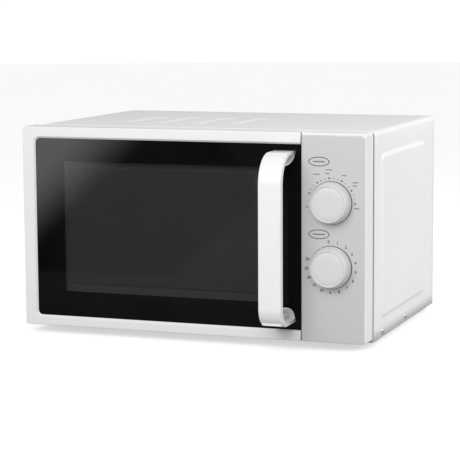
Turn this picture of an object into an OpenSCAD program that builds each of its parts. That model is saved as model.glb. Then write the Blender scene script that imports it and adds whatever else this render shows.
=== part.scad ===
// Countertop microwave oven with two dials, a side-hinged door and a glass turntable.
// Design axes: X runs to the right from the middle of the oven, Y runs back from the front face,
// Z runs up from the surface the oven stands on. placed() moves them to the part's own frame,
// whose origin is under the middle of the whole oven.

/* [Oven] */
// Width across the front
oven_w = 440; // [439:0.5:441]
// Height of the door and of the control bezel
front_h = 247; // [246:0.5:248]
// Depth from the front face to the back of the cabinet
oven_d = 330; // [328:1:334]
// Thickness of the door skirt and of the control bezel
front_d = 32; // [31:0.5:32.5]
// Height of the feet under the cabinet
foot_h = 7; // [6:0.5:9]
// How far the front's lower edge sits above the cabinet's lower edge
front_lift = 4; // [3:0.5:5]
// How far the cord gland stands out behind the back
gland_out = 6; // [5:0.5:8]

/* [Sheet metal] */
// Thickness of the painted cabinet and chassis sheet
sheet = 0.8; // [0.7:0.05:0.9]
// How far the side panels are embossed outward
emboss = 1; // [0.8:0.1:1.2]
// Width of the grooved gap between the front and the cabinet
front_groove = 5; // [4.8:0.1:5.2]

/* [Cavity] */
// Width of the cooking cavity
cavity_w = 306; // [305:0.5:306]
// Height of the cooking cavity
cavity_h = 208; // [206:1:209]
// Depth of the cooking cavity
cavity_d = 284; // [280:1:286]
// Height of the cavity floor above the cabinet's lower edge
cavity_lift = 26; // [26:0.5:27]
// Space between the cavity and the left side of the oven
left_gap = 25; // [25:0.5:26]

/* [Door] */
// Width of the white stile on the hinge side
stile_w = 16; // [15:0.5:17]
// Height of the white rail above the glass
top_rail_h = 13.5; // [12.5:0.5:14]
// Height of the white rail below the glass
low_rail_h = 12; // [11.5:0.5:13]
// Distance from the right side of the oven to the seam beside the door
panel_w = 79; // [78.5:0.5:79.5]
// How far the glass sits behind the face of the door frame
glass_recess = 2.5; // [2:0.1:3]
// Thickness of the door glass
glass_t = 3.2; // [3:0.1:3.4]

/* [Handle] */
// Width of the handle strap
handle_w = 27.5; // [26:0.5:29]
// How far the handle stands out in front of the door frame
handle_out = 56; // [52:1:60]
// Thickness of the handle strap
handle_t = 9; // [8:0.5:10]
// Height of the handle from end to end
handle_h = 202.5; // [199:0.5:206]
// Outer radius of the handle's upper bend
handle_bend_top = 36; // [34:1:38]
// Outer radius of the handle's lower bend
handle_bend_low = 24; // [22:1:26]

/* [Dials] */
// Diameter of a dial at its base
dial_d = 50; // [46:1:52]
// Diameter of a dial at its face
dial_face_d = 42; // [38:1:44]
// Height of a dial in front of the control panel
dial_h = 14; // [12:0.5:16]
// Height of the upper dial above the lower edge of the front
upper_dial_z = 165.5; // [164:0.5:167]
// Height of the lower dial above the lower edge of the front
lower_dial_z = 89.7; // [88:0.1:91]
// Diameter of the dial shafts
shaft_d = 6; // [5:0.5:7]

/* [Turntable] */
// Diameter of the glass tray
tray_d = 245; // [240:1:250]
// Thickness of the glass tray
tray_t = 5; // [4:0.5:6]
// Height of the tray's rim above its underside
tray_rim = 13; // [11:0.5:15]
// Diameter of a roller
roller_d = 15; // [14:0.5:16]
// Distance from the middle of the turntable to the middle of a roller
roller_track = 92; // [88:1:94]

/* [Hidden] */
$fn = 48;
skin = 0.05;                 // overshoot of a cutting tool past the face it cuts
run = 0.05;                  // radial clearance of a running fit

half_w = oven_w/2;
cab_z = foot_h;                                  // cabinet's lower edge
front_z = foot_h + front_lift;                   // lower edge of door and bezel
top_z = front_z + front_h;                       // top of door and bezel
roof_z = top_z - 0.5;                            // top of the cabinet
cab_y = front_d + front_groove;                  // cabinet's front edge
plate_y = cab_y - 1;                             // face of the front frame
rear_y = oven_d;
cab_x = half_w - emboss;                         // plain outer face of the cabinet sides
cab_bend = 6;                                    // outer radius of the roof bends
liner_x = cab_x - sheet;                         // inner face of the cabinet sides
liner_z = roof_z - sheet;                        // inner face of the cabinet roof
base_top = cab_z + sheet;

cavity_x0 = -half_w + left_gap;
cavity_x1 = cavity_x0 + cavity_w;
cavity_z0 = cab_z + cavity_lift;
cavity_z1 = cavity_z0 + cavity_h;
cavity_y0 = plate_y + sheet;
cavity_y1 = cavity_y0 + cavity_d;
cavity_x = (cavity_x0 + cavity_x1)/2;
turn_y = cavity_y0 + 142;                        // turntable axis

seam_x = half_w - panel_w;
door_x1 = seam_x - 0.6;
panel_x0 = seam_x + 0.6;
wall = 2.4;                                      // plastic wall of door frame and bezel
glass_y1 = glass_recess + glass_t;
glass_x0 = -half_w + stile_w;
glass_z0 = front_z + low_rail_h;
glass_z1 = top_z - top_rail_h;
glass_tuck = 2;                                  // glass edge held behind the frame's lip
backing_t = 2.3;                                 // ring of the door frame behind the glass
backing_y = glass_y1 + backing_t;

// Door window, seen through the printed border of the glass
window_x0 = -half_w + 60;
window_x1 = -half_w + 295;
window_z0 = front_z + 58;
window_z1 = front_z + 190;
view_x = [-half_w + 55, -half_w + 310];          // clear part of the glass inside its printed border
view_z = [front_z + 44, front_z + 205];
view_margin = 1.5;                               // the frame's opening is larger than the view
fascia_bend = 5.5;                               // round corner of the fascia

hinge_x = -half_w + 11;
hinge_y = 16;
hinge_r = 2.5;
hinge_arm_t = 2;
hinge_arm_w = 11;
hinge_arms_z = [front_z + 9, top_z - 11];        // underside of each hinge arm
hinge_notch = 0.6;                               // clearance of the door above and below an arm

screen_y = 12;                                   // metal inner door
screen_x0 = -half_w + 19;
screen_x1 = seam_x - 19;
screen_z0 = front_z + 8;
screen_z1 = top_z - 8;
choke_y = plate_y - 2.5;                         // back of the choke fins
cover_y0 = choke_y + 0.1;
cover_y1 = plate_y - 0.6;

hook_x = seam_x - 11;                            // middle of the latch hooks
hook_t = 5;
hook_z = [front_z + 51, front_z + 196];          // middle of each hook finger
hook_travel = 4;
hook_tip_y = 56;
barb_h = 4;

handle_x = seam_x - 6.5 - handle_w/2;
handle_z0 = front_z + 22.5;
handle_z1 = handle_z0 + handle_h;
handle_screw_z = [handle_z0 + 9, handle_z1 - 9];

dial_x = half_w - 42;
timer_z = front_z + lower_dial_z;
power_z = front_z + upper_dial_z;
fascia_t = 1.6;
shaft_r = shaft_d/2;
bezel_t = 2.2;

bay_x0 = cavity_x1 + sheet;                      // equipment bay beside the cavity
guide_x1 = bay_x0 + 33;                          // outer face of the waveguide
magnetron_y = 192;
magnetron_z = 202;
yoke_w = 86;
yoke_h = 78;
yoke_x0 = guide_x1;
yoke_x1 = yoke_x0 + 50;
fan_x = 163;
fan_y = 306;
fan_z = 176;
fan_r = 44;
transformer_x = 166;
transformer_y = 190;
gland_x = 186;
gland_z = 44;
gland_r = 4;

tray_z = cavity_z0 + roller_d + 0.6;             // underside of the tray
roller_z = cavity_z0 + 0.3 + roller_d/2;
ring_r = 74;

front_y = -(oven_d + gland_out - handle_out)/2;  // front face in the part's own frame

// ---------- shared shapes ----------

// Moves a sub-part from the design axes to the part's own frame
module placed() translate([0, front_y, 0]) children();

// Block between two corners
module block(x, y, z) translate([x[0], y[0], z[0]]) cube([x[1] - x[0], y[1] - y[0], z[1] - z[0]]);

// Round bars along each axis
module bar_x(r, x, y, z) translate([x[0], y, z]) rotate([0, 90, 0]) cylinder(r = r, h = x[1] - x[0]);
module bar_y(r, x, y, z) translate([x, y[1], z]) rotate([90, 0, 0]) cylinder(r = r, h = y[1] - y[0]);
module bar_z(r, x, y, z) translate([x, y, z[0]]) cylinder(r = r, h = z[1] - z[0]);

// Outlines drawn in XZ or YZ and carried along the third axis
module along_y(y) translate([0, y[1], 0]) rotate([90, 0, 0]) linear_extrude(y[1] - y[0]) children();
module along_x(x) translate([x[0], 0, 0]) rotate([90, 0, 90]) linear_extrude(x[1] - x[0]) children();

// Rectangle with round corners
module round_rect(x, z, r) {
    translate([x[0] + r, z[0]]) square([x[1] - x[0] - 2*r, z[1] - z[0]]);
    translate([x[0], z[0] + r]) square([x[1] - x[0], z[1] - z[0] - 2*r]);
    for (cx = [x[0] + r, x[1] - r], cz = [z[0] + r, z[1] - r]) translate([cx, cz]) circle(r);
}

// Outline of the cabinet: square at the bottom, rounded at the top
module arch(w, z, r) {
    translate([-w, z[0]]) square([2*w, z[1] - z[0] - r]);
    translate([-w + r, z[0]]) square([2*(w - r), z[1] - z[0]]);
    for (side = [-1, 1]) translate([side*(w - r), z[1] - r]) circle(r);
}

// Grid of round holes through a wall that faces X or Y
module holes_x(x, y0, z0, count, pitch, r) {
    for (i = [0:count[0] - 1], j = [0:count[1] - 1])
        bar_x(r, x, y0 + i*pitch, z0 + j*pitch);
}

// Screw with a domed head, drawn head up with the head's seat at z = 0
module screw(r, length, head_r, head_h) {
    translate([0, 0, -length]) cylinder(r = r, h = length);
    difference() {
        intersection() {
            cylinder(r = head_r, h = head_h);
            translate([0, 0, head_h - head_r*1.6]) sphere(r = head_r*1.6);
        }
        translate([-head_r*0.65, -0.45, head_h - 0.9]) cube([head_r*1.3, 0.9, 2]);
        translate([-0.45, -head_r*0.65, head_h - 0.9]) cube([0.9, head_r*1.3, 2]);
    }
}

function unit(v) = v/max(norm(v), 1e-9);
function ring_points(c, dir, r, sides) =
    let (side = unit(cross(dir, abs(dir.z) < 0.9 ? [0, 0, 1] : [1, 0, 0])), up = cross(side, dir))
    [for (k = [0:sides - 1]) c + r*(cos(360*k/sides)*side + sin(360*k/sides)*up)];

// Tube of radius r along a list of points
module tube_along(path, r, sides) {
    n = len(path);
    dirs = [for (i = [0:n - 1]) unit(path[min(i + 1, n - 1)] - path[max(i - 1, 0)])];
    points = [for (i = [0:n - 1]) each ring_points(path[i], dirs[i], r, sides)];
    quads = [for (i = [0:n - 2], k = [0:sides - 1])
        [i*sides + k, i*sides + (k + 1) % sides, (i + 1)*sides + (k + 1) % sides, (i + 1)*sides + k]];
    caps = [[for (k = [sides - 1:-1:0]) k], [for (k = [0:sides - 1]) (n - 1)*sides + k]];
    polyhedron(points, concat(quads, caps), convexity = 8);
}

// ---------- cabinet and chassis ----------

side_panel_y = [cab_y + 33, rear_y - 53];
side_panel_z = [front_z + 19, front_z + 219];
side_screws_y = [cab_y + 40, cab_y + 148];
side_screws_z = cab_z + 6.5;
rear_screws = [[-170, roof_z - 7], [0, roof_z - 7], [170, roof_z - 7],
    [-half_w + 7.5, 90], [half_w - 7.5, 90]];
roof_ribs_x = [-120, -73, -26, 21];

module outer_cabinet() placed() color("white") {
    difference() {
        union() {
            along_y([cab_y, rear_y]) difference() {
                arch(cab_x, [cab_z, roof_z], cab_bend);
                arch(liner_x, [cab_z - skin, liner_z], cab_bend - sheet);
            }
            // emboss of the two sides
            for (side = [0, 1]) mirror([side, 0, 0]) along_x([liner_x, cab_x + emboss])
                round_rect(side_panel_y, side_panel_z, 8);
            // pressed ribs hang below the roof by one emboss
            for (x = roof_ribs_x)
                block([x - 12, x + 12], [cab_y + 75, rear_y - 115], [liner_z - emboss, liner_z + skin]);
            // flange at the back
            along_y([rear_y - sheet, rear_y]) difference() {
                arch(liner_x + skin, [cab_z, liner_z + skin], cab_bend - sheet);
                arch(liner_x - 12, [cab_z - skin, liner_z - 12], 3);
            }
        }
        for (side = [0, 1]) mirror([side, 0, 0]) along_x([liner_x - skin, cab_x + emboss - sheet])
            round_rect(side_panel_y + [sheet, -sheet], side_panel_z + [sheet, -sheet], 8 - sheet);
        for (x = roof_ribs_x)
            block([x - 12 + sheet, x + 12 - sheet], [cab_y + 75 + sheet, rear_y - 115 - sheet],
                [roof_z - emboss, roof_z + 1]);
        for (y = side_screws_y) bar_x(1.8, [-half_w - 5, half_w + 5], y, side_screws_z);
        for (p = rear_screws) bar_y(1.8, p[0], [rear_y - 5, rear_y + 5], p[1]);
    }
}

foot_x = half_w - 38;
feet_y = [95, rear_y - 20];

module base_plate() placed() color("lightgray") difference() {
    union() {
        block([-liner_x, liner_x], [plate_y, rear_y - 2*sheet], [cab_z, base_top]);
        for (side = [0, 1]) mirror([side, 0, 0])
            block([liner_x - sheet, liner_x], [plate_y + 14, rear_y - 16],
                [base_top - skin, base_top + 14]);
    }
    for (x = [-foot_x, foot_x], y = feet_y) bar_z(3.2, x, y, [cab_z - 1, base_top + 1]);
    for (y = side_screws_y) bar_x(1.8, [-half_w, half_w], y, side_screws_z);
    // air inlet slots under the equipment bay and outlet slots under the cavity
    for (i = [0:8]) block([150, 196], [96 + i*6, 99 + i*6], [cab_z - 1, base_top + 1]);
    for (i = [0:8]) block([-196, -150], [150 + i*6, 153 + i*6], [cab_z - 1, base_top + 1]);
}

module back_panel() placed() color("lightgray") difference() {
    along_y([rear_y - 2*sheet, rear_y - sheet]) arch(liner_x, [cab_z, liner_z], cab_bend - sheet);
    // air outlet slots behind the fan and beside the cavity
    for (i = [-4:4]) block([fan_x - 34, fan_x + 34], [rear_y - 5, rear_y + 5],
        [fan_z + 9*i - 2, fan_z + 9*i + 2]);
    for (i = [0:7]) block([9*i - 192, 9*i - 188], [rear_y - 5, rear_y + 5], [120, 200]);
    bar_y(gland_r + 4, gland_x, [rear_y - 5, rear_y + 5], gland_z);
    for (p = rear_screws) bar_y(1.8, p[0], [rear_y - 5, rear_y + 5], p[1]);
}

module feet() placed() color("dimgray") for (x = [-foot_x, foot_x], y = feet_y) translate([x, y, 0]) {
    rotate_extrude() polygon([[0, 0], [8, 0], [9, 1], [10, foot_h - 1.5], [10, foot_h], [0, foot_h]]);
    translate([0, 0, foot_h - skin]) cylinder(r = 3.15, h = sheet + skin + 0.1);
    translate([0, 0, foot_h + sheet + 0.1]) cylinder(r1 = 4.4, r2 = 2.6, h = 3);
}

module cabinet_screws() placed() color("silver") {
    for (side = [0, 1], y = side_screws_y) mirror([side, 0, 0])
        translate([cab_x, y, side_screws_z]) rotate([0, 90, 0]) screw(1.7, 7, 4, 2.1);
    for (p = rear_screws)
        translate([p[0], rear_y, p[1]]) rotate([-90, 0, 0]) screw(1.7, 6, 4, 2.1);
}

module cord_gland() placed() color("dimgray") translate([gland_x, rear_y, gland_z]) rotate([-90, 0, 0])
    difference() {
        union() {
            translate([0, 0, -sheet]) cylinder(r = 11, h = gland_out + sheet);
            translate([0, 0, -8]) cylinder(r = gland_r + 3.9, h = 8);
            translate([0, 0, -8]) cylinder(r = gland_r + 5.5, h = 8 - 2*sheet);
        }
        translate([0, 0, -9]) cylinder(r = gland_r, h = gland_out + 10);
    }

module front_frame() placed() color("white") {
    difference() {
        union() {
            along_y([plate_y, plate_y + sheet]) arch(liner_x, [base_top, liner_z], cab_bend - sheet);
            // returns that the cabinet slides over
            along_y([plate_y + sheet - skin, plate_y + 12]) difference() {
                arch(liner_x, [base_top, liner_z], cab_bend - sheet);
                arch(liner_x - sheet, [base_top - 1, liner_z - sheet], cab_bend - 2*sheet);
            }
        }
        along_y([plate_y - 1, plate_y + 2]) round_rect([cavity_x0, cavity_x1], [cavity_z0, cavity_z1], 6);
        // opening for the control units
        block([seam_x + 7, half_w - 8], [plate_y - 1, plate_y + 2], [front_z + 50, front_z + 210]);
        for (z = hook_z)
            block([hook_x - hook_t/2 - 1.5, hook_x + hook_t/2 + 4], [plate_y - 1, plate_y + 2],
                [z - 9, z + 9]);
        for (z = hinge_arms_z)
            block([hinge_x - hinge_arm_w/2, hinge_x + hinge_arm_w/2], [plate_y - 1, plate_y + 2],
                [z, z + hinge_arm_t]);
    }
}

// ---------- cooking cavity ----------

feed_y = [132, 182];
feed_z = [170, 226];
inlet_y0 = 92;
inlet_z0 = 172;
lamp_y = 268;
lamp_z = 214;

module cavity_wrap() placed() color("whitesmoke") difference() {
    along_x([cavity_x0, cavity_x1]) difference() {
        round_rect([cavity_y0 - 20, cavity_y1 + sheet], [cavity_z0 - sheet, cavity_z1 + sheet], 12 + sheet);
        round_rect([cavity_y0 - 19, cavity_y1], [cavity_z0, cavity_z1], 12);
        translate([cavity_y0 - 30, cavity_z0 - 5]) square([30, cavity_h + 10]);
    }
    bar_z(9, cavity_x, turn_y, [cavity_z0 - 2, cavity_z0 + 1]);
}

module cavity_left_wall() placed() color("whitesmoke") difference() {
    block([cavity_x0 - sheet, cavity_x0], [cavity_y0, cavity_y1 + sheet],
        [cavity_z0 - sheet, cavity_z1 + sheet]);
    holes_x([cavity_x0 - 2, cavity_x0 + 1], 262, 150, [7, 9], 5.5, 1.6);
}

module cavity_right_wall() placed() color("whitesmoke") difference() {
    block([cavity_x1, cavity_x1 + sheet], [cavity_y0, cavity_y1 + sheet],
        [cavity_z0 - sheet, cavity_z1 + sheet]);
    block([cavity_x1 - 1, cavity_x1 + 2], feed_y, feed_z);
    holes_x([cavity_x1 - 1, cavity_x1 + 2], inlet_y0, inlet_z0, [5, 9], 5.5, 1.6);
    holes_x([cavity_x1 - 1, cavity_x1 + 2], lamp_y - 11, lamp_z - 11, [5, 5], 5.5, 1.6);
}

module mica_cover() placed() color("tan") along_x([cavity_x1 - sheet, cavity_x1])
    round_rect(feed_y + [-8, 8], feed_z + [-8, 6], 4);

// ---------- microwave source ----------

module waveguide() placed() color("silver") difference() {
    block([bay_x0, guide_x1], [124, 240], [162, 236]);
    block([bay_x0 - 1, guide_x1 - sheet], [124 + sheet, 240 - sheet], [162 + sheet, 236 - sheet]);
    bar_x(11, [guide_x1 - 2, guide_x1 + 1], magnetron_y + 14, magnetron_z);
}

antenna_y = magnetron_y + 14;

module magnetron_yoke() placed() color("gray") difference() {
    block([yoke_x0, yoke_x1], [antenna_y - yoke_w/2, antenna_y + yoke_w/2],
        [magnetron_z - yoke_h/2, magnetron_z + yoke_h/2]);
    block([yoke_x0 + 2, yoke_x1 - 2], [antenna_y - yoke_w/2 - 1, antenna_y + yoke_w/2 + 1],
        [magnetron_z - yoke_h/2 + 2, magnetron_z + yoke_h/2 - 2]);
    bar_x(10, [yoke_x0 - 1, yoke_x0 + 3], antenna_y, magnetron_z);
    bar_x(8, [yoke_x1 - 3, yoke_x1 + 1], antenna_y, magnetron_z);
}

// Stack of thin cooling fins round the copper anode
module magnetron_fins() placed() color("silver") {
    difference() {
        union() {
            bar_x(17, [yoke_x0 + 2, yoke_x1 - 2], antenna_y, magnetron_z);
            for (i = [0:7]) block([yoke_x0 + 7 + i*5, yoke_x0 + 8 + i*5], [antenna_y - 38, antenna_y + 38],
                [magnetron_z - yoke_h/2 + 2.5, magnetron_z + yoke_h/2 - 2.5]);
        }
        bar_x(13, [yoke_x0 + 1, yoke_x1 - 1], antenna_y, magnetron_z);
    }
}

module magnetron_antenna() placed() color("gainsboro") {
    bar_x(10, [yoke_x0, yoke_x0 + 2], antenna_y, magnetron_z);
    bar_x(9, [yoke_x0 - 14, yoke_x0 + skin], antenna_y, magnetron_z);
    bar_x(6.5, [yoke_x0 - 24, yoke_x0 - 14 + skin], antenna_y, magnetron_z);
}

module magnetron_filter_box() placed() color("silver") {
    block([yoke_x1, yoke_x1 + 16], [antenna_y - 30, antenna_y + 24], [magnetron_z - 30, magnetron_z + 24]);
    // two terminals on the underside
    for (y = [antenna_y - 12, antenna_y + 2])
        block([yoke_x1 + 4, yoke_x1 + 10], [y, y + 0.8], [magnetron_z - 39, magnetron_z - 30 + skin]);
}

// Plastic duct from the magnetron's fins to the air inlet of the cavity
duct_y = [87, 118];
duct_z = [163, 239];
duct_t = 1.6;
module air_duct() placed() color("lightsteelblue") difference() {
    union() {
        block([yoke_x0 + 1, yoke_x1], [100, antenna_y - yoke_w/2 - 1], duct_z);
        block([bay_x0, yoke_x1], duct_y, duct_z);
    }
    block([yoke_x0 + 1 + duct_t, yoke_x1 - duct_t], [110, antenna_y], duct_z + [duct_t, -duct_t]);
    block([bay_x0 - 1, yoke_x1 - duct_t], duct_y + [duct_t, -duct_t], duct_z + [duct_t, -duct_t]);
}

// ---------- power supply ----------

module transformer_core() placed() color("dimgray") difference() {
    union() {
        block([transformer_x - 40, transformer_x + 40], [transformer_y - 34, transformer_y + 34],
            [base_top, base_top + 76]);
        // foot flanges
        block([transformer_x - 50, transformer_x + 50], [transformer_y - 34, transformer_y + 34],
            [base_top, base_top + 2]);
    }
    for (side = [-1, 1]) block([transformer_x + side*20 - 9, transformer_x + side*20 + 9],
        [transformer_y - 40, transformer_y + 40], [base_top + 14, base_top + 62]);
    for (x = [-46, 46], y = [-26, 26])
        bar_z(2.2, transformer_x + x, transformer_y + y, [base_top - 1, base_top + 3]);
}

// Two windings stacked on the middle limb
module transformer_windings() placed() color("peru") for (z = [[15, 36], [39, 61]]) difference() {
    along_z_block([transformer_x - 28.8, transformer_x + 28.8],
        [transformer_y - 34 - 16, transformer_y + 34 + 16], base_top + z[0], base_top + z[1], 14);
    block([transformer_x - 11, transformer_x + 11], [transformer_y - 34, transformer_y + 34],
        [base_top, base_top + 76]);
}

// Upright block with round vertical corners
module along_z_block(x, y, z0, z1, r) translate([0, 0, z0]) linear_extrude(z1 - z0) round_rect(x, y, r);

capacitor_x = 176;
capacitor_y = 282;
module capacitor() placed() color("silver") {
    along_z_block([capacitor_x - 26, capacitor_x + 26], [capacitor_y - 16, capacitor_y + 16],
        base_top, base_top + 74, 15.9);
    for (x = [-12, 12]) {
        bar_z(5, capacitor_x + x, capacitor_y, [base_top + 74 - skin, base_top + 79]);
        block([capacitor_x + x - 3, capacitor_x + x + 3], [capacitor_y - 0.4, capacitor_y + 0.4],
            [base_top + 79 - skin, base_top + 88]);
    }
}

module capacitor_bracket() placed() color("gray") difference() {
    union() {
        along_z_block([capacitor_x - 27, capacitor_x + 27], [capacitor_y - 17, capacitor_y + 17],
            base_top + 30, base_top + 44, 16.9);
        block([capacitor_x - 42, capacitor_x - 20], [capacitor_y - 6, capacitor_y + 6],
            [base_top + 30, base_top + 31]);
        block([capacitor_x - 42, capacitor_x - 41], [capacitor_y - 6, capacitor_y + 6],
            [base_top, base_top + 31]);
        block([capacitor_x - 54, capacitor_x - 41], [capacitor_y - 6, capacitor_y + 6],
            [base_top, base_top + 1]);
    }
    along_z_block([capacitor_x - 26, capacitor_x + 26], [capacitor_y - 16, capacitor_y + 16],
        base_top + 20, base_top + 50, 15.9);
}

module high_voltage_diode() placed() color("black") {
    bar_x(4, [capacitor_x - 50, capacitor_x - 34], capacitor_y - 22, base_top + 50);
    bar_x(0.8, [capacitor_x - 34 - skin, capacitor_x - 16], capacitor_y - 22, base_top + 50);
    bar_x(0.8, [capacitor_x - 58, capacitor_x - 50 + skin], capacitor_y - 22, base_top + 50);
}

module filter_board() placed() color("darkgreen") {
    block([136, 208], [248, 300], [250, 251.6]);
    // parts hanging from the board: choke, capacitors and fuse
    bar_z(11, 154, 264, [236, 250 + skin]);
    block([172, 190], [254, 262], [237, 250 + skin]);
    block([172, 190], [268, 274], [240, 250 + skin]);
    bar_x(2.6, [168, 192], 286, 246);
    for (x = [168, 190]) block([x, x + 2], [284, 288], [246, 250 + skin]);
}

// ---------- cooling fan ----------

module fan_shroud() placed() color("lightsteelblue") {
    difference() {
        union() {
            along_y([fan_y - 12, fan_y - 10]) round_rect([fan_x - 49, fan_x + 48], [116, 230], 6);
            bar_y(fan_r + 3, fan_x, [fan_y - 10 - skin, fan_y + 12], fan_z);
        }
        bar_y(fan_r + 1.2, fan_x, [fan_y - 10, fan_y + 13], fan_z);
        bar_y(fan_r - 6, fan_x, [fan_y - 13, fan_y - 9], fan_z);
    }
    // bridge across the air opening, with the motor's two legs
    difference() {
        union() {
            block([fan_x - fan_r, fan_x + fan_r], [fan_y - 14, fan_y - 11], [fan_z - 5, fan_z + 5]);
            for (x = [-30, 22]) block([fan_x + x, fan_x + x + 8], [fan_y - 40, fan_y - 14 + skin],
                [fan_z - 4, fan_z + 4]);
        }
        bar_y(4, fan_x, [fan_y - 15, fan_y - 10], fan_z);
    }
}

// Shaded-pole motor: laminated frame with the rotor in one end and the coil on the other
module fan_motor_stator() placed() color("gray") difference() {
    block([fan_x - 25, fan_x + 25], [fan_y - 52, fan_y - 40], [fan_z - 46, fan_z + 20]);
    block([fan_x - 14, fan_x + 14], [fan_y - 53, fan_y - 39], [fan_z - 38, fan_z - 22]);
    bar_y(11, fan_x, [fan_y - 53, fan_y - 39], fan_z);
}

module fan_motor_coil() placed() color("peru") difference() {
    block([fan_x - 13.5, fan_x + 13.5], [fan_y - 60, fan_y - 32], [fan_z - 54, fan_z - 23]);
    block([fan_x - 14, fan_x + 14], [fan_y - 52, fan_y - 40], [fan_z - 46, fan_z - 38]);
}

module fan_rotor() placed() color("silver") {
    bar_y(10.5, fan_x, [fan_y - 52, fan_y - 40], fan_z);
    bar_y(1.5, fan_x, [fan_y - 62, fan_y + 8], fan_z);
}

module fan_blade() placed() color("lightgray") difference() {
    union() {
        bar_y(11, fan_x, [fan_y - 6, fan_y + 8], fan_z);
        for (i = [0:5]) translate([fan_x, fan_y + 1, fan_z]) rotate([0, i*60, 0]) translate([9, 0, 0])
            rotate([28, 0, 0]) block([0, fan_r - 10.5], [-0.8, 0.8], [-11, 11]);
    }
    bar_y(1.5, fan_x, [fan_y - 7, fan_y + 9], fan_z);
}

// ---------- lamp and protectors ----------

bulb_r = 9;
cap_r = 6;
cap_h = 14;                                      // length of the lamp's cap behind the bulb
module cavity_lamp() placed() color("lightyellow")
    translate([bay_x0 + 14, lamp_y, lamp_z]) rotate([0, 90, 0])
        rotate_extrude() polygon(concat(
            [[0, -bulb_r]], [for (a = [-75:15:45]) bulb_r*[cos(a), sin(a)]],
            [[cap_r, bulb_r*0.78], [cap_r, cap_h + 2], [0, cap_h + 2]]));

module lamp_socket() placed() color("whitesmoke") difference() {
    union() {
        bar_x(9, [bay_x0 + 24, bay_x0 + 38], lamp_y, lamp_z);
        block([bay_x0, bay_x0 + 36], [lamp_y - 4, lamp_y + 4], [lamp_z - 16, lamp_z - 14]);
        block([bay_x0 + 30, bay_x0 + 36], [lamp_y - 4, lamp_y + 4], [lamp_z - 16, lamp_z - 6]);
    }
    bar_x(6, [bay_x0 + 20, bay_x0 + 30], lamp_y, lamp_z);
}

// One disc cut-out on the cavity wall and one on the magnetron's yoke
wall_cutout = [236, 120];
module thermal_cutouts() placed() color("black") {
    bar_x(8, [bay_x0, bay_x0 + 9], wall_cutout[0], wall_cutout[1]);
    for (z = [-5, 3]) block([bay_x0 + 9 - skin, bay_x0 + 17], [wall_cutout[0] - 0.4, wall_cutout[0] + 0.4],
        [wall_cutout[1] + z, wall_cutout[1] + z + 2]);
    bar_z(8, yoke_x0 + 26, antenna_y, [magnetron_z - yoke_h/2 - 9, magnetron_z - yoke_h/2]);
    for (x = [20, 30]) block([yoke_x0 + x, yoke_x0 + x + 2], [antenna_y - 0.4, antenna_y + 0.4],
        [magnetron_z - yoke_h/2 - 16, magnetron_z - yoke_h/2 - 9 + skin]);
}

// ---------- controls ----------

lug_w = 10;
lug_tip = 4;
lugs_z = [front_z + 22, top_z - 32];             // underside of the lugs on the front frame
module control_housing() placed() color("white") {
    difference() {
        along_y([0, front_d]) round_rect([panel_x0, half_w], [front_z, top_z], 3);
        // seat of the fascia: open to the left and to the bottom
        along_y([-1, fascia_t])
            round_rect([panel_x0 - 10, half_w - 1.4], [front_z - 10, top_z - 3], fascia_bend);
        block([panel_x0 + bezel_t, half_w - bezel_t], [fascia_t + bezel_t, front_d + 1],
            [front_z + bezel_t, top_z - bezel_t]);
        for (z = [timer_z, power_z]) bar_y(5, dial_x, [0, 10], z);
    }
    // lugs; their tips are set in, so that the gap beside the cabinet stays clear
    for (z = lugs_z, side = [0, 1]) {
        wall_x = side == 0 ? panel_x0 + bezel_t - skin : half_w - bezel_t - lug_w;
        tip_x = side == 0 ? panel_x0 + bezel_t + lug_w - lug_tip : half_w - bezel_t - lug_w;
        block([wall_x, wall_x + lug_w + skin], [front_d - 12, front_d - 4], [z, z + 10]);
        block([tip_x, tip_x + lug_tip], [front_d - 4 - skin, plate_y], [z, z + 10]);
    }
}

module control_fascia() placed() color("silver") difference() {
    along_y([0, fascia_t]) intersection() {
        round_rect([panel_x0 - 10, half_w - 1.4], [front_z - 10, top_z - 3], fascia_bend);
        translate([panel_x0, front_z]) square([panel_w, front_h]);
    }
    for (z = [timer_z, power_z]) bar_y(4.2, dial_x, [-1, 10], z);
}

unit_y = fascia_t + bezel_t;

module timer_unit() placed() color("whitesmoke") difference() {
    union() {
        block([dial_x - 29, dial_x + 29], [unit_y, unit_y + 1.5], [timer_z - 28, timer_z + 28]);
        block([dial_x - 26, dial_x + 26], [unit_y + 1.5 - skin, unit_y + 32], [timer_z - 26, timer_z + 26]);
        for (i = [0:3]) block([dial_x - 22 + i*12, dial_x - 16 + i*12], [unit_y + 18, unit_y + 18.8],
            [timer_z - 34, timer_z - 26 + skin]);
        bar_y(2, dial_x, [unit_y + 32 - skin, unit_y + 43], timer_z);
    }
    bar_y(shaft_r + run, dial_x, [unit_y - 1, unit_y + 20], timer_z);
}

module timer_bell() placed() color("gold") translate([dial_x, unit_y + 46, timer_z]) rotate([90, 0, 0])
    difference() {
        intersection() {
            cylinder(r = 20, h = 10);
            translate([0, 0, 30]) sphere(r = 32);
        }
        intersection() {
            translate([0, 0, 1]) cylinder(r = 19, h = 12);
            translate([0, 0, 31]) sphere(r = 32);
        }
        translate([0, 0, -3]) cylinder(r = 2, h = 20);
    }

module power_switch_unit() placed() color("whitesmoke") difference() {
    union() {
        block([dial_x - 22, dial_x + 22], [unit_y, unit_y + 1.5], [power_z - 20, power_z + 20]);
        block([dial_x - 18, dial_x + 18], [unit_y + 1.5 - skin, unit_y + 26], [power_z - 18, power_z + 18]);
        for (i = [0:2]) block([dial_x - 15 + i*12, dial_x - 9 + i*12], [unit_y + 14, unit_y + 14.8],
            [power_z - 26, power_z - 18 + skin]);
    }
    bar_y(shaft_r + run, dial_x, [unit_y - 1, unit_y + 20], power_z);
}

dial_gap = 0.8;
dial_boss = 5;

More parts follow.
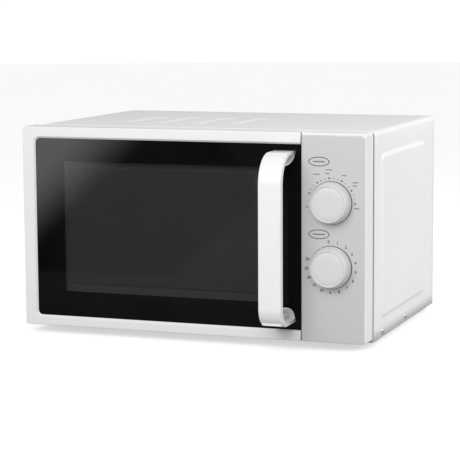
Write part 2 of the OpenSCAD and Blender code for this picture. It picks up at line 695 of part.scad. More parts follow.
module dial(z) translate([dial_x, -dial_gap, z]) rotate([90, 0, 0]) difference() {
    rotate_extrude() polygon([
        [shaft_r, 3], [dial_boss, 3], [dial_boss, dial_h - 4], [dial_face_d/2 - 3, dial_h - 4],
        [dial_d/2 - 2, 0], [dial_d/2, 0], [dial_d/2, 1.2], [dial_face_d/2 + 0.6, dial_h - 1.6],
        [dial_face_d/2 - 1.4, dial_h], [dial_face_d/2 - 4, dial_h - 0.6], [0, dial_h - 1.2],
        [0, dial_h - 3], [shaft_r, dial_h - 3]
    ]);
    // pointer groove at the top of the face
    translate([-0.6, dial_face_d/2 - 9, dial_h - 1.3]) cube([1.2, 9, 2]);
}

module shaft(z) bar_y(shaft_r, dial_x, [-dial_gap - dial_h + 3, unit_y + 18], z);

module timer_dial() placed() color("white") dial(timer_z);
module timer_shaft() placed() color("silver") shaft(timer_z);
module power_dial() placed() color("white") dial(power_z);
module power_shaft() placed() color("silver") shaft(power_z);

// ---------- latch board ----------

board_x = [hook_x - 14, hook_x + 14];
board_y = plate_y + sheet;
pocket_x = [hook_x - 5, hook_x + 7];
ledge_top = -hook_travel - barb_h - 0.5;

module latch_board() placed() color("ivory") {
    difference() {
        union() {
            block(board_x, [board_y, board_y + 2.5], [front_z + 26, front_z + 220]);
            // spine that the switches are screwed to
            block([hook_x + 12, hook_x + 14], [board_y + 2.5 - skin, 80], [front_z + 26, front_z + 220]);
            for (z = hook_z) block([pocket_x[0] - 2, pocket_x[1] + 2], [board_y + 2.5 - skin, 59],
                [z - 16, z + 14]);
        }
        for (z = hook_z) block(pocket_x, [board_y - 1, 60], [z - 14, z + 12]);
    }
    // ledges that the hooks drop behind
    for (z = hook_z) block([pocket_x[0] - skin, pocket_x[1] + skin], [42, 47],
        [z - 14 - skin, z + ledge_top]);
}

module interlock_switches() placed() color("black") {
    for (z = [hook_z[0], hook_z[1], hook_z[1] - 42]) {
        difference() {
            block([hook_x + 2, hook_x + 12], [62, 78], [z - 14, z + 14]);
            for (dz = [-11, 11]) bar_x(1.6, [hook_x, hook_x + 13], 74, z + dz);
        }
        block([hook_x + 5, hook_x + 9], [60.6, 62 + skin], [z + 3, z + 6]);
        for (dz = [-10, 0, 10]) block([hook_x + 4, hook_x + 10], [78 - skin, 86], [z + dz, z + dz + 0.8]);
    }
}

// ---------- door ----------

module hinge_arm(z, up) {
    tab_z = up ? [z, z + 18] : [z + hinge_arm_t - 18, z + hinge_arm_t];
    difference() {
        union() {
            block([hinge_x - hinge_arm_w/2, hinge_x + hinge_arm_w/2], [hinge_y, plate_y + sheet + skin],
                [z, z + hinge_arm_t]);
            bar_z(hinge_arm_w/2, hinge_x, hinge_y, [z, z + hinge_arm_t]);
            block([hinge_x - 8, hinge_x + hinge_arm_w/2], [plate_y + sheet, plate_y + sheet + 1.5], tab_z);
        }
        bar_y(1.7, hinge_x, [plate_y, plate_y + 5], up ? z + 12 : z + hinge_arm_t - 12);
    }
    bar_z(hinge_r, hinge_x, hinge_y, up ? [z, z + 15] : [z + hinge_arm_t - 15, z + hinge_arm_t]);
}

module door_hinges() placed() color("silver") {
    hinge_arm(hinge_arms_z[0], true);
    hinge_arm(hinge_arms_z[1], false);
}

module door_frame() placed() color("white") difference() {
    union() {
        difference() {
            along_y([0, front_d]) round_rect([-half_w, door_x1], [front_z, top_z], 3);
            along_y([backing_y, front_d + 1])
                round_rect([-half_w + wall, door_x1 - wall], [front_z + wall, top_z - wall], 1);
        }
        // hinge bosses
        for (z = [hinge_arms_z[0] + hinge_arm_t + hinge_notch, hinge_arms_z[1] - hinge_notch - 14]) {
            bar_z(5.5, hinge_x, hinge_y, [z, z + 14]);
            block([hinge_x - 5.5, hinge_x + 5.5], [backing_y - skin, hinge_y], [z, z + 14]);
        }
        // guides of the latch plate and post of its spring
        for (z = [front_z + 80, front_z + 166], x = [[-5, -3], [3, 5]])
            block([hook_x + x[0], hook_x + x[1]], [backing_y - skin, 22], [z, z + 10]);
        block([hook_x - 4, hook_x + 4], [backing_y - skin, 26], [front_z + 234, front_z + 237]);
    }
    // the glass and the opening behind it
    block([glass_x0 - glass_tuck, door_x1 + 1], [glass_recess, glass_y1],
        [glass_z0 - glass_tuck, glass_z1 + glass_tuck]);
    along_y([-1, glass_recess + skin])
        round_rect([glass_x0, door_x1 + 20], [glass_z0, glass_z1], 6);
    block(view_x + view_margin*[-1, 1], [glass_y1 - 1, backing_y + 1], view_z + view_margin*[-1, 1]);
    for (z = handle_screw_z) bar_y(2.1, handle_x, [glass_y1 - 1, backing_y + 1], z);
    // bores and notches for the hinges
    for (z = [hinge_arms_z[0], hinge_arms_z[1] - 15]) bar_z(hinge_r + run, hinge_x, hinge_y, [z, z + 17]);
    for (z = hinge_arms_z) block([-half_w - 1, hinge_x + 7], [5.8, front_d + 1],
        [z - hinge_notch, z + hinge_arm_t + hinge_notch]);
}

module door_glass() placed() color("black") difference() {
    block([glass_x0 - glass_tuck, door_x1], [glass_recess, glass_y1],
        [glass_z0 - glass_tuck, glass_z1 + glass_tuck]);
    for (z = handle_screw_z) bar_y(2.1, handle_x, [0, backing_y], z);
}

// One half of the handle's side outline, drawn in by [y, z]: straight strap and a bend to the glass
module handle_half(inset, bend, z) intersection() {
    round_rect([-handle_out + inset[0], glass_recess + 60], [handle_z0 + inset[1], handle_z1 - inset[1]],
        bend - inset[1]);
    translate([-handle_out, z[0]]) square([handle_out + glass_recess + inset[0], z[1] - z[0]]);
}
handle_mid_z = (handle_z0 + handle_z1)/2;
module handle_outline(inset) {
    handle_half(inset, handle_bend_low, [handle_z0, handle_mid_z + skin]);
    handle_half(inset, handle_bend_top, [handle_mid_z, handle_z1]);
}

// Filled corner between a band and the glass: flat for a length, then a quarter of an ellipse
band_t = 3;
module cheek(flat_l, arc_l, h) polygon(concat([[-flat_l - arc_l, 0], [-flat_l - arc_l, -h]],
    [for (a = [90:-7.5:0]) [arc_l*(cos(a) - 1), -h*sin(a)]]));

module door_handle() placed() color("white") difference() {
    union() {
        translate([handle_x - handle_w/2, 0, 0]) along_x([0, handle_w]) difference() {
            handle_outline([0, 0]);
            handle_outline([handle_t, band_t]);
        }
        translate([handle_x - handle_w/2 + 2.5, 0, 0]) along_x([0, handle_w - 5]) {
            translate([glass_recess, handle_z1 - band_t + skin]) cheek(10, 33, 11.7);
            translate([glass_recess, handle_z0 + band_t - skin]) mirror([0, 1])
                cheek(0.5, handle_out - handle_t + glass_recess, 20.5);
        }
    }
    for (z = handle_screw_z) bar_y(1.7, handle_x, [-14, glass_recess + 1], z);
}

module handle_screws() placed() color("silver") for (z = handle_screw_z)
    translate([handle_x, backing_y, z]) rotate([-90, 0, 0]) screw(1.7, 20, 3.8, 2);

module door_screen() placed() color("gray") difference() {
    union() {
        block([screen_x0, screen_x1], [screen_y, screen_y + sheet], [screen_z0, screen_z1]);
        // outer wall with its folded choke edge, and inner wall round the window
        along_y([screen_y, choke_y]) frame_2d([screen_x0, screen_x1], [screen_z0, screen_z1], sheet);
        along_y([choke_y - sheet, choke_y]) frame_2d([screen_x0, screen_x1], [screen_z0, screen_z1], 9);
        along_y([screen_y, choke_y - 6])
            frame_2d([window_x0 - 6, window_x1 + 6], [window_z0 - 6, window_z1 + 6], sheet);
        along_y([choke_y - 6 - sheet, choke_y - 6])
            difference() {
                square_2d([window_x0 - 20, window_x1 + 20], [window_z0 - 22, window_z1 + 22]);
                square_2d([window_x0 - 6, window_x1 + 6], [window_z0 - 6, window_z1 + 6]);
            }
    }
    // slots that split the folded edge into fins
    for (z = [screen_z0 + 16:16:screen_z1 - 12])
        for (x = [screen_x0 + sheet + 4, screen_x1 - sheet - 4])
            block([x - 4, x + 5], [choke_y - 3, choke_y + 1], [z - 1, z + 1]);
    for (x = [screen_x0 + 16:16:screen_x1 - 12])
        for (z = [screen_z0 + sheet + 4, screen_z1 - sheet - 4])
            block([x - 1, x + 1], [choke_y - 3, choke_y + 1], [z - 4, z + 5]);
}

module square_2d(x, z) translate([x[0], z[0]]) square([x[1] - x[0], z[1] - z[0]]);

// Hollow rectangle with walls of width t inside its outline
module frame_2d(x, z, t) difference() {
    square_2d(x, z);
    square_2d(x + [t, -t], z + [t, -t]);
}

module choke_cover() placed() color("gainsboro") {
    along_y([cover_y0, cover_y1]) difference() {
        round_rect([screen_x0 - 0.6, screen_x1 + 0.6], [screen_z0 - 0.6, screen_z1 + 0.6], 4);
        square_2d([window_x0 - 4, window_x1 + 4], [window_z0 - 4, window_z1 + 4]);
    }
    along_y([screen_y + 2, cover_y0 + skin])
        frame_2d([window_x0 - 5, window_x1 + 5], [window_z0 - 5, window_z1 + 5], 1.2);
}

module door_inner_film() placed() color("aliceblue")
    block([window_x0 - 5, window_x1 + 5], [screen_y + sheet, screen_y + sheet + 0.4],
        [window_z0 - 5, window_z1 + 5]);

plate_z = [front_z + 34, front_z + 222];
module latch_hooks() placed() color("ivory") {
    difference() {
        block([hook_x - hook_t/2, hook_x + hook_t/2], [12, 26], plate_z);
        block([hook_x - 5, hook_x + 5], [16, 22], [plate_z[0] + 8, hook_z[0] - 8]);
    }
    for (z = hook_z) {
        block([hook_x - hook_t/2, hook_x + hook_t/2], [26 - skin, hook_tip_y], [z - 4, z + 4]);
        along_x([hook_x - hook_t/2, hook_x + hook_t/2])
            polygon([[50, z - 4 - barb_h], [hook_tip_y - 2, z - 4 - barb_h], [hook_tip_y, z - 4 + skin],
                [50, z - 4 + skin]]);
    }
}

spring_turns = 6;
spring_wire_r = 0.35;
spring_z = [plate_z[1] + 0.5, front_z + 233.5];      // ends of the wire's centre line
spring_steps = spring_turns*14;
module latch_spring() placed() color("silver") translate([hook_x, 19, 0])
    tube_along([for (i = [0:spring_steps]) let (a = 360*spring_turns*i/spring_steps)
        [2.2*cos(a), 2.2*sin(a), spring_z[0] + (spring_z[1] - spring_z[0])*i/spring_steps]],
        spring_wire_r, 8);

// ---------- turntable ----------

module turntable_motor() placed() color("silver") difference() {
    union() {
        bar_z(24.5, cavity_x, turn_y, [cavity_z0 - sheet - 17, cavity_z0 - sheet - 2]);
        along_z_block([cavity_x - 34, cavity_x + 34], [turn_y - 6, turn_y + 6],
            cavity_z0 - sheet - 2.8, cavity_z0 - sheet, 5.9);
        block([cavity_x - 9, cavity_x + 9], [turn_y - 34, turn_y - 20],
            [cavity_z0 - sheet - 16, cavity_z0 - sheet - 3]);
    }
    bar_z(3.5 + run, cavity_x, turn_y, [cavity_z0 - sheet - 14, cavity_z0]);
    for (side = [-1, 1]) bar_z(2, cavity_x + side*29, turn_y, [cavity_z0 - 5, cavity_z0]);
}

// Motor shaft with the three-lobed drive cross on top
module turntable_coupler() placed() color("ivory") {
    bar_z(3.5, cavity_x, turn_y, [cavity_z0 - sheet - 13, cavity_z0 + 1]);
    bar_z(8, cavity_x, turn_y, [cavity_z0 + 0.8, cavity_z0 + 8]);
    for (i = [0:2]) translate([cavity_x, turn_y, 0]) rotate(i*120)
        block([0, 15], [-3, 3], [cavity_z0 + 8 - skin, tray_z]);
}

module glass_tray() placed() color("lightcyan") translate([cavity_x, turn_y, tray_z]) {
    rotate_extrude($fn = 96) polygon([
        [0, 0], [tray_d/2 - 16, 0], [tray_d/2 - 6, 3], [tray_d/2, tray_rim - 1],
        [tray_d/2 - 1, tray_rim], [tray_d/2 - 4, tray_rim - 1], [tray_d/2 - 10, tray_t + 3],
        [tray_d/2 - 18, tray_t], [0, tray_t]
    ]);
    // three lugs that the coupler drives
    for (i = [0:2]) rotate(60 + i*120) translate([13, 0, -4]) cylinder(r = 3, h = 4 + skin);
}

module roller_ring() placed() color("ivory") translate([cavity_x, turn_y, roller_z]) {
    difference() {
        translate([0, 0, -3]) cylinder(r = ring_r + 4, h = 6, $fn = 96);
        translate([0, 0, -4]) cylinder(r = ring_r - 4, h = 8, $fn = 96);
    }
    for (i = [0:2]) rotate(90 + i*120) {
        // fork arm out to the roller, with its axle
        block([ring_r, roller_track - 5], [-4, 4], [-2.5, 2.5]);
        bar_x(2, [roller_track - 6, roller_track + 4.5], 0, 0);
        bar_x(2.9, [roller_track + 4.2, roller_track + 6], 0, 0);
    }
}

module roller(i) placed() color("ivory") translate([cavity_x, turn_y, roller_z]) rotate(90 + i*120)
    difference() {
        bar_x(roller_d/2, [roller_track - 3.5, roller_track + 3.5], 0, 0);
        bar_x(2 + run, [roller_track - 5, roller_track + 5], 0, 0);
    }

module roller_1() roller(0);
module roller_2() roller(1);
module roller_3() roller(2);

// ---------- wiring ----------

function bend(p, q, s, n) = [for (i = [0:n]) let (t = i/n) (1 - t)*(1 - t)*p + 2*t*(1 - t)*q + t*t*s];

// Wires held by the chassis: mains in, timer to transformer, high voltage, fan and turntable motor
wires = [
    concat([[186, 320, 44]], bend([186, 316, 44], [186, 308, 44], [200, 306, 50], 4),
        bend([214.5, 300, 60], [214.5, 290, 150], [214.5, 290, 200], 6),
        bend([214.5, 290, 230], [213, 290, 244], [205, 290, 247], 4)),
    concat([[190, 246, 247]], bend([190, 240, 246], [212, 236, 246], [212, 220, 246], 5),
        bend([212, 140, 246], [212, 70, 240], [212, 70, 200], 6),
        bend([212, 70, 120], [212, 60, 62], [195, 40, 64], 6)),
    concat([[168, 248, 62]], bend([168, 251, 62], [168, 256, 62], [160, 256, 80], 5),
        bend([150, 256, 110], [164, 256, 110], [164, 276, 98], 5)),
    concat([[205, 200, 160]], bend([205, 200, 150], [205, 205, 120], [210, 220, 100], 5),
        bend([210, 236, 70], [200, 244, 50], [190, 244, 46], 5))
];
module wiring_harness() placed() color("firebrick") for (w = wires) tube_along(w, 1.6, 8);

outer_cabinet();
base_plate();
back_panel();
feet();
cabinet_screws();
cord_gland();
front_frame();
cavity_wrap();
cavity_left_wall();
cavity_right_wall();
mica_cover();
waveguide();
magnetron_yoke();
magnetron_fins();
magnetron_antenna();
magnetron_filter_box();
air_duct();
transformer_core();
transformer_windings();
capacitor();
capacitor_bracket();
high_voltage_diode();
fan_shroud();
fan_motor_stator();
fan_motor_coil();
fan_rotor();
fan_blade();
cavity_lamp();
lamp_socket();
thermal_cutouts();
filter_board();
control_housing();
control_fascia();
timer_unit();
timer_bell();
power_switch_unit();
timer_dial();
timer_shaft();
power_dial();
power_shaft();
latch_board();
interlock_switches();
door_hinges();
door_frame();
door_glass();
door_handle();
handle_screws();
door_screen();
choke_cover();
door_inner_film();
latch_hooks();
latch_spring();
turntable_motor();
turntable_coupler();
glass_tray();
roller_ring();
roller_1();
roller_2();
roller_3();
wiring_harness();
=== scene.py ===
"""Countertop microwave oven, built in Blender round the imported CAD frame."""

from math import cos, hypot, pi, radians, sin

import bmesh
import bpy
import numpy as np
from mathutils import Matrix, Vector


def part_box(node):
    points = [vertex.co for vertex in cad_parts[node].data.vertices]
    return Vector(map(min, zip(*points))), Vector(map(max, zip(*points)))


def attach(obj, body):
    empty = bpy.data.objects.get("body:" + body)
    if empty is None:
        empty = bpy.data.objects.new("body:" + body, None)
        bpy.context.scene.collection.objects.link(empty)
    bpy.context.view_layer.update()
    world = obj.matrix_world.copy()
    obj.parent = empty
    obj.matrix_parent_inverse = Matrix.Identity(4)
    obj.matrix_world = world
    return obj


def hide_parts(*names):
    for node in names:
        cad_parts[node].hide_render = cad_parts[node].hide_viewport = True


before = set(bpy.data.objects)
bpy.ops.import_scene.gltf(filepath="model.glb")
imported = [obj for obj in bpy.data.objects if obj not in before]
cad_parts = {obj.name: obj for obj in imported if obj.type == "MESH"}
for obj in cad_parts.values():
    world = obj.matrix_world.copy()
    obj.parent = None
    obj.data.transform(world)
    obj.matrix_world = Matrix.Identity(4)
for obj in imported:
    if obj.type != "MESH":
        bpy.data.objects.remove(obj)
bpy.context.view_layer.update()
MM = 0.001

# ---- camera ----


def new_object(name, data):
    """Object in the scene."""
    obj = bpy.data.objects.new(name, data)
    bpy.context.scene.collection.objects.link(obj)
    return obj


def turn(degrees, axis):
    return Matrix.Rotation(radians(degrees), 4, axis)


def make_camera():
    """Camera to the right of the oven's middle, a little above it, with a long lens."""
    data = bpy.data.cameras.new("camera")
    data.lens = 139.5
    data.sensor_width = 36.0
    data.clip_end = 100.0
    camera = new_object("camera", data)
    place = Matrix.Translation((0.7818, -2.1108, 0.4162))
    heading = turn(20.31, "Z")
    tilt = turn(90.0 - 7.49, "X")
    roll = turn(-0.33, "Z")
    camera.matrix_world = place @ heading @ tilt @ roll
    bpy.context.scene.camera = camera


make_camera()

# ---- places taken from the frame ----

CAB_LO, CAB_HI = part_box("outer_cabinet")
DOOR_LO, DOOR_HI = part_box("door_frame")
GLASS_LO, GLASS_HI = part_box("door_glass")
HOUSING_LO, HOUSING_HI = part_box("control_housing")
FASCIA_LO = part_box("control_fascia")[0]
HANDLE_LO, HANDLE_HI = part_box("door_handle")
SCREEN_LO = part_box("door_screen")[0]
FILM_LO, FILM_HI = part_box("door_inner_film")
FRONT_Y = DOOR_LO.y
FRONT_Z = DOOR_LO.z
LEFT_X = DOOR_LO.x


def front_x(distance):
    """Place across the front, from its left edge, in millimetres."""
    return LEFT_X + distance * MM


def front_z(height):
    """Height above the front's lower edge, in millimetres."""
    return FRONT_Z + height * MM


def behind_front(depth):
    """Place behind the face of the door frame, in millimetres."""
    return FRONT_Y + depth * MM


# ---- material tools ----

# the colour sockets of a Mix node
MIX_A = 6
MIX_B = 7
MIX_RESULT = 2


def new_node(tree, kind, **values):
    """Shader node with its input values; _ stands for a space in their names."""
    node = tree.nodes.new("ShaderNode" + kind)
    for name, value in values.items():
        node.inputs[name.replace("_", " ")].default_value = value
    return node


class Finish:
    """A material round one Principled shader, with short calls for its textures."""

    def __init__(self, name, base, rough, metallic=0.0, specular=0.5):
        self.material = bpy.data.materials.new(name)
        self.material.use_nodes = True
        self.tree = self.material.node_tree
        self.links = self.tree.links
        self.shader = self.tree.nodes["Principled BSDF"]
        self.base = base
        self.rough = rough
        self.set("Base Color", (*base, 1.0))
        self.set("Roughness", rough)
        self.set("Metallic", metallic)
        self.set("Specular IOR Level", specular)
        self.place = new_node(self.tree, "TexCoord").outputs["Object"]
        self.normal = None

    def set(self, socket, value):
        self.shader.inputs[socket].default_value = value

    def texture(self, kind, stretch=None, **values):
        """Texture node over the object's coordinates, which stretch scales along each axis."""
        node = new_node(self.tree, "Tex" + kind, **values)
        place = self.place
        if stretch:
            mapping = new_node(self.tree, "Mapping", Scale=stretch)
            self.links.new(place, mapping.inputs["Vector"])
            place = mapping.outputs["Vector"]
        self.links.new(place, node.inputs["Vector"])
        return node

    def noise(self, scale, detail=3.0, stretch=None):
        return self.texture("Noise", stretch, Scale=scale, Detail=detail).outputs["Fac"]

    def cells(self, scale, output="Distance", stretch=None):
        return self.texture("Voronoi", stretch, Scale=scale).outputs[output]

    def bands(self, scale, axis, distortion):
        node = self.texture("Wave", Scale=scale, Distortion=distortion)
        node.wave_type = "BANDS"
        node.bands_direction = axis
        return node.outputs["Fac"]

    def ramp(self, value, low, high, start=0.3, end=0.7):
        """Maps value from start..end, where most noise lies, to low..high."""
        node = new_node(self.tree, "MapRange", From_Min=start, From_Max=end, To_Min=low, To_Max=high)
        self.links.new(value, node.inputs["Value"])
        return node.outputs["Result"]

    def colour(self, factor, first, second):
        """Makes the base colour lie between two colours."""
        node = new_node(self.tree, "Mix")
        node.data_type = "RGBA"
        self.links.new(factor, node.inputs["Factor"])
        node.inputs[MIX_A].default_value = (*first, 1.0)
        node.inputs[MIX_B].default_value = (*second, 1.0)
        self.links.new(node.outputs[MIX_RESULT], self.shader.inputs["Base Color"])
        return self

    def mottle(self, scale, amount, detail=3.0, stretch=None):
        """Varies the base colour by a share of itself."""
        dark = tuple(c * (1.0 - amount) for c in self.base)
        light = tuple(min(1.0, c * (1.0 + amount)) for c in self.base)
        factor = self.ramp(self.noise(scale, detail, stretch), 0.0, 1.0)
        return self.colour(factor, dark, light)

    def wear(self, scale, amount, detail=4.0, stretch=None):
        """Varies the roughness round its mean."""
        value = self.noise(scale, detail, stretch)
        spread = self.ramp(value, self.rough - amount, self.rough + amount)
        self.links.new(spread, self.shader.inputs["Roughness"])
        return self

    def relief(self, height, depth, strength=1.0):
        """Adds a bump of the given depth in metres on top of the ones before."""
        node = new_node(self.tree, "Bump", Distance=depth, Strength=strength)
        self.links.new(height, node.inputs["Height"])
        if self.normal is not None:
            self.links.new(self.normal, node.inputs["Normal"])
        self.normal = node.outputs["Normal"]
        self.links.new(self.normal, self.shader.inputs["Normal"])
        return self

    def grain(self, scale, detail, depth, strength, stretch=None):
        """Fine relief from noise."""
        return self.relief(self.noise(scale, detail, stretch), depth, strength)


# ---- materials, one for each slot ----


def cavity_enamel():
    finish = Finish("cavity_enamel", (0.62, 0.63, 0.62), 0.28)
    speckle = finish.ramp(finish.cells(420.0), 0.0, 1.0, 0.08, 0.22)
    finish.colour(speckle, (0.56, 0.57, 0.565), (0.64, 0.65, 0.64))
    finish.wear(35.0, 0.03)
    return finish.grain(300.0, 1.0, 0.00001, 0.4)


def zinc_sheet():
    finish = Finish("zinc_sheet", (0.52, 0.53, 0.54), 0.38, metallic=0.9)
    spangle = finish.cells(240.0, "Color")
    split = new_node(finish.tree, "SeparateColor")
    finish.links.new(spangle, split.inputs["Color"])
    finish.colour(split.outputs["Red"], (0.50, 0.51, 0.52), (0.57, 0.58, 0.59))
    finish.wear(140.0, 0.09)
    return finish.grain(700.0, 2.0, 0.00001, 0.5)


def silver_plastic():
    finish = Finish("silver_plastic", (0.53, 0.535, 0.535), 0.45, metallic=0.2)
    grain = finish.ramp(finish.noise(2600.0, 2.0), 0.0, 1.0, 0.35, 0.65)
    finish.colour(grain, (0.53, 0.535, 0.535), (0.58, 0.585, 0.585))
    finish.wear(1800.0, 0.06)
    return finish.grain(2200.0, 2.0, 0.000008, 0.4)


def glass_band():
    """Ring of fine printed dots where the black border fades out."""
    finish = Finish("glass_band", (0.003, 0.003, 0.003), 0.045, specular=0.075)
    dots = finish.ramp(finish.cells(900.0), 1.0, 0.0, 0.2, 0.45)
    finish.colour(dots, (0.0035, 0.0035, 0.0036), (0.0090, 0.0090, 0.0090))
    return finish.wear(18.0, 0.015)


def window_glass():
    """Clear part of the smoked glass."""
    finish = Finish("window_glass", (0.0145, 0.0145, 0.0150), 0.045, specular=0.105)
    finish.set("Alpha", 0.75)
    finish.mottle(22.0, 0.06)
    return finish.wear(16.0, 0.015)


def steel_laminate():
    """Stacked iron sheets under clear varnish."""
    finish = Finish("steel_laminate", (0.16, 0.16, 0.17), 0.45, metallic=0.7)
    layers = finish.bands(320.0, "Y", 0.4)
    finish.colour(layers, (0.10, 0.10, 0.11), (0.22, 0.22, 0.23))
    finish.wear(200.0, 0.1)
    return finish.relief(layers, 0.00008, 0.6)


def copper_winding():
    """Varnished wire in close turns."""
    finish = Finish("copper_winding", (0.50, 0.19, 0.07), 0.32, metallic=0.85)
    turns = finish.bands(330.0, "Z", 0.2)
    finish.colour(turns, (0.30, 0.10, 0.035), (0.58, 0.24, 0.09))
    finish.wear(250.0, 0.08)
    return finish.relief(turns, 0.0003, 0.8)


def aluminium_sheet():
    finish = Finish("aluminium_sheet", (0.66, 0.67, 0.68), 0.32, metallic=1.0)
    finish.mottle(260.0, 0.05, stretch=(1.0, 8.0, 1.0))
    finish.wear(500.0, 0.08, stretch=(1.0, 10.0, 1.0))
    return finish.grain(900.0, 2.0, 0.00001, 0.4, stretch=(1.0, 10.0, 1.0))


def mica_sheet():
    finish = Finish("mica_sheet", (0.36, 0.28, 0.18), 0.4)
    flakes = finish.cells(130.0, "Distance", stretch=(1.0, 1.0, 0.6))
    finish.colour(flakes, (0.27, 0.20, 0.12), (0.47, 0.38, 0.26))
    finish.wear(90.0, 0.12)
    return finish.relief(flakes, 0.00005, 0.5)


def board_green():
    """Solder mask with copper tracks under it."""
    finish = Finish("board_green", (0.02, 0.10, 0.04), 0.3)
    tracks = finish.ramp(finish.bands(70.0, "X", 6.0), 0.0, 1.0, 0.55, 0.6)
    finish.colour(tracks, (0.012, 0.075, 0.028), (0.05, 0.19, 0.06))
    finish.wear(150.0, 0.05)
    return finish.relief(tracks, 0.00004, 0.5)


def print_ink(name, grey):
    finish = Finish(name, (grey, grey, grey), 0.6, specular=0.2)
    finish.mottle(400.0, 0.12)
    return finish.wear(500.0, 0.08)


def plain_finish(name, base, rough, mottle, wear, relief, looks=None):
    """Finish with even mottling, wear and fine relief; looks are further shader values."""
    finish = Finish(name, base, rough)
    for socket, value in (looks or {}).items():
        finish.set(socket, value)
    finish.mottle(*mottle)
    finish.wear(*wear)
    return finish.grain(*relief)


MOULDED = ((30.0, 0.03), (120.0, 0.06))
GRAIN = (900.0, 3.0, 0.00003, 0.6)
METAL = {"Metallic": 1.0}
CLEAR = {"Transmission Weight": 1.0, "IOR": 1.5}
FILM = {"Specular IOR Level": 0.3, "Alpha": 0.12}

# name: (base colour, roughness, mottle (scale, share), wear (scale, amount),
#        relief (scale, detail, depth, strength), further shader values)
PLAIN_FINISHES = {
    "white_enamel": ((0.80, 0.805, 0.81), 0.36, (9.0, 0.012), (60.0, 0.06), (520.0, 2.0, 0.00002, 0.5)),
    "white_plastic": ((0.775, 0.775, 0.78), 0.38, (14.0, 0.010), (80.0, 0.05),
                      (600.0, 1.0, 0.000008, 0.4)),
    "dial_plastic": ((0.63, 0.63, 0.63), 0.34, (25.0, 0.008), (60.0, 0.04), (600.0, 1.0, 0.000004, 0.3)),
    "ivory_plastic": ((0.72, 0.70, 0.62), 0.42, *MOULDED, GRAIN),
    "grey_plastic": ((0.40, 0.41, 0.42), 0.40, *MOULDED, GRAIN),
    "black_plastic": ((0.022, 0.022, 0.024), 0.45, *MOULDED, GRAIN),
    "clear_glass": ((0.90, 0.97, 0.95), 0.05, (30.0, 0.02), (60.0, 0.03), (45.0, 2.0, 0.00015, 0.4), CLEAR),
    "clear_film": ((0.75, 0.77, 0.78), 0.12, (18.0, 0.05), (90.0, 0.04), (25.0, 2.0, 0.0001, 0.4), FILM),
    "lamp_glass": ((0.97, 0.95, 0.88), 0.06, (60.0, 0.02), (90.0, 0.03), (120.0, 2.0, 0.00005, 0.4),
                   {"Transmission Weight": 0.9}),
    "foot_rubber": ((0.028, 0.028, 0.03), 0.7, *MOULDED, (600.0, 3.0, 0.00003, 0.6)),
    "screw_steel": ((0.66, 0.66, 0.67), 0.20, (400.0, 0.08), (900.0, 0.08),
                    (2500.0, 2.0, 0.00001, 0.4), METAL),
    "spring_steel": ((0.42, 0.42, 0.43), 0.3, (500.0, 0.1), (1200.0, 0.08),
                     (3000.0, 2.0, 0.00001, 0.4), METAL),
    "bell_brass": ((0.62, 0.42, 0.15), 0.28, (90.0, 0.08), (220.0, 0.08), (800.0, 2.0, 0.00001, 0.4), METAL),
    "wire_cover": ((0.30, 0.022, 0.016), 0.42, *MOULDED, (1500.0, 3.0, 0.00003, 0.6)),
    # black print fired on the back of the glass
    "smoked_glass": ((0.0040, 0.0040, 0.0041), 0.045, (25.0, 0.2), (18.0, 0.015),
                     (14.0, 1.0, 0.00002, 0.3), {"Specular IOR Level": 0.075}),
    "ceramic": ((0.74, 0.73, 0.69), 0.22, (120.0, 0.03), (150.0, 0.05), (500.0, 2.0, 0.00003, 0.5)),
}
OWN_FINISHES = (cavity_enamel, zinc_sheet, silver_plastic, steel_laminate, copper_winding,
                aluminium_sheet, mica_sheet, board_green)

MATERIALS = {name: plain_finish(name, *values).material for name, values in PLAIN_FINISHES.items()}
MATERIALS.update({maker.__name__: maker().material for maker in OWN_FINISHES})
GLASS_BAND = glass_band().material
WINDOW_GLASS = window_glass().material
PRINT_INK = print_ink("print_ink", 0.06).material
PALE_INK = print_ink("pale_ink", 0.19).material
SCREEN_PAINT = plain_finish("screen_paint", (0.46, 0.46, 0.465), 0.50, (120.0, 0.06), (300.0, 0.08),
                            (900.0, 2.0, 0.00001, 0.5), {"Specular IOR Level": 0.3}).material

# ---- mesh tools ----

WELD_GAP = 0.000002
COARSE = 14 * MM
FINE = 1.0 * MM


def add_piece(name, mesh, body, slot, material=None, replaces=()):
    """Links a mesh as a piece that rides on a body and takes its finish from a slot."""
    obj = new_object(name, mesh)
    obj.data.materials.clear()
    obj.data.materials.append(material or MATERIALS[slot])
    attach(obj, body)
    if replaces:
        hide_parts(*replaces)
    return obj


def shade(mesh, smooth=True):
    mesh.polygons.foreach_set("use_smooth", [smooth] * len(mesh.polygons))
    return mesh


def mesh_from(bm, name, smooth=True):
    """Finished mesh from a bmesh, with its faces turned outward."""
    bmesh.ops.recalc_face_normals(bm, faces=bm.faces)
    mesh = bpy.data.meshes.new(name)
    bm.to_mesh(mesh)
    bm.free()
    return shade(mesh, smooth)


def add_shape(name, bm, body, slot, material=None, replaces=(), smooth=False):
    """Piece from a bmesh, with flat faces or smooth ones."""
    return add_piece(name, mesh_from(bm, name, smooth), body, slot, material, replaces)


def mesh_from_grid(points, name, closed=False):
    """Smooth mesh from rows of points; closed joins the last column to the first."""
    rows, columns = points.shape[:2]
    index = np.arange(rows * columns).reshape(rows, columns)
    if closed:
        index = np.hstack([index, index[:, :1]])
    corners = (index[:-1, :-1], index[:-1, 1:], index[1:, 1:], index[1:, :-1])
    faces = np.stack(corners, axis=-1).reshape(-1, 4)
    mesh = bpy.data.meshes.new(name)
    mesh.from_pydata(points.reshape(-1, 3).tolist(), [], faces.tolist())
    return shade(mesh)


def smooth_by_angle(mesh, angle=35.0):
    """Smooth shading with creases at the sharp edges."""
    shade(mesh).set_sharp_from_angle(angle=radians(angle))
    return mesh


def weigh_normals(obj):
    """Shades flat faces flat and their rounded edges smoothly."""
    obj.modifiers.new("normals", "WEIGHTED_NORMAL").weight = 100


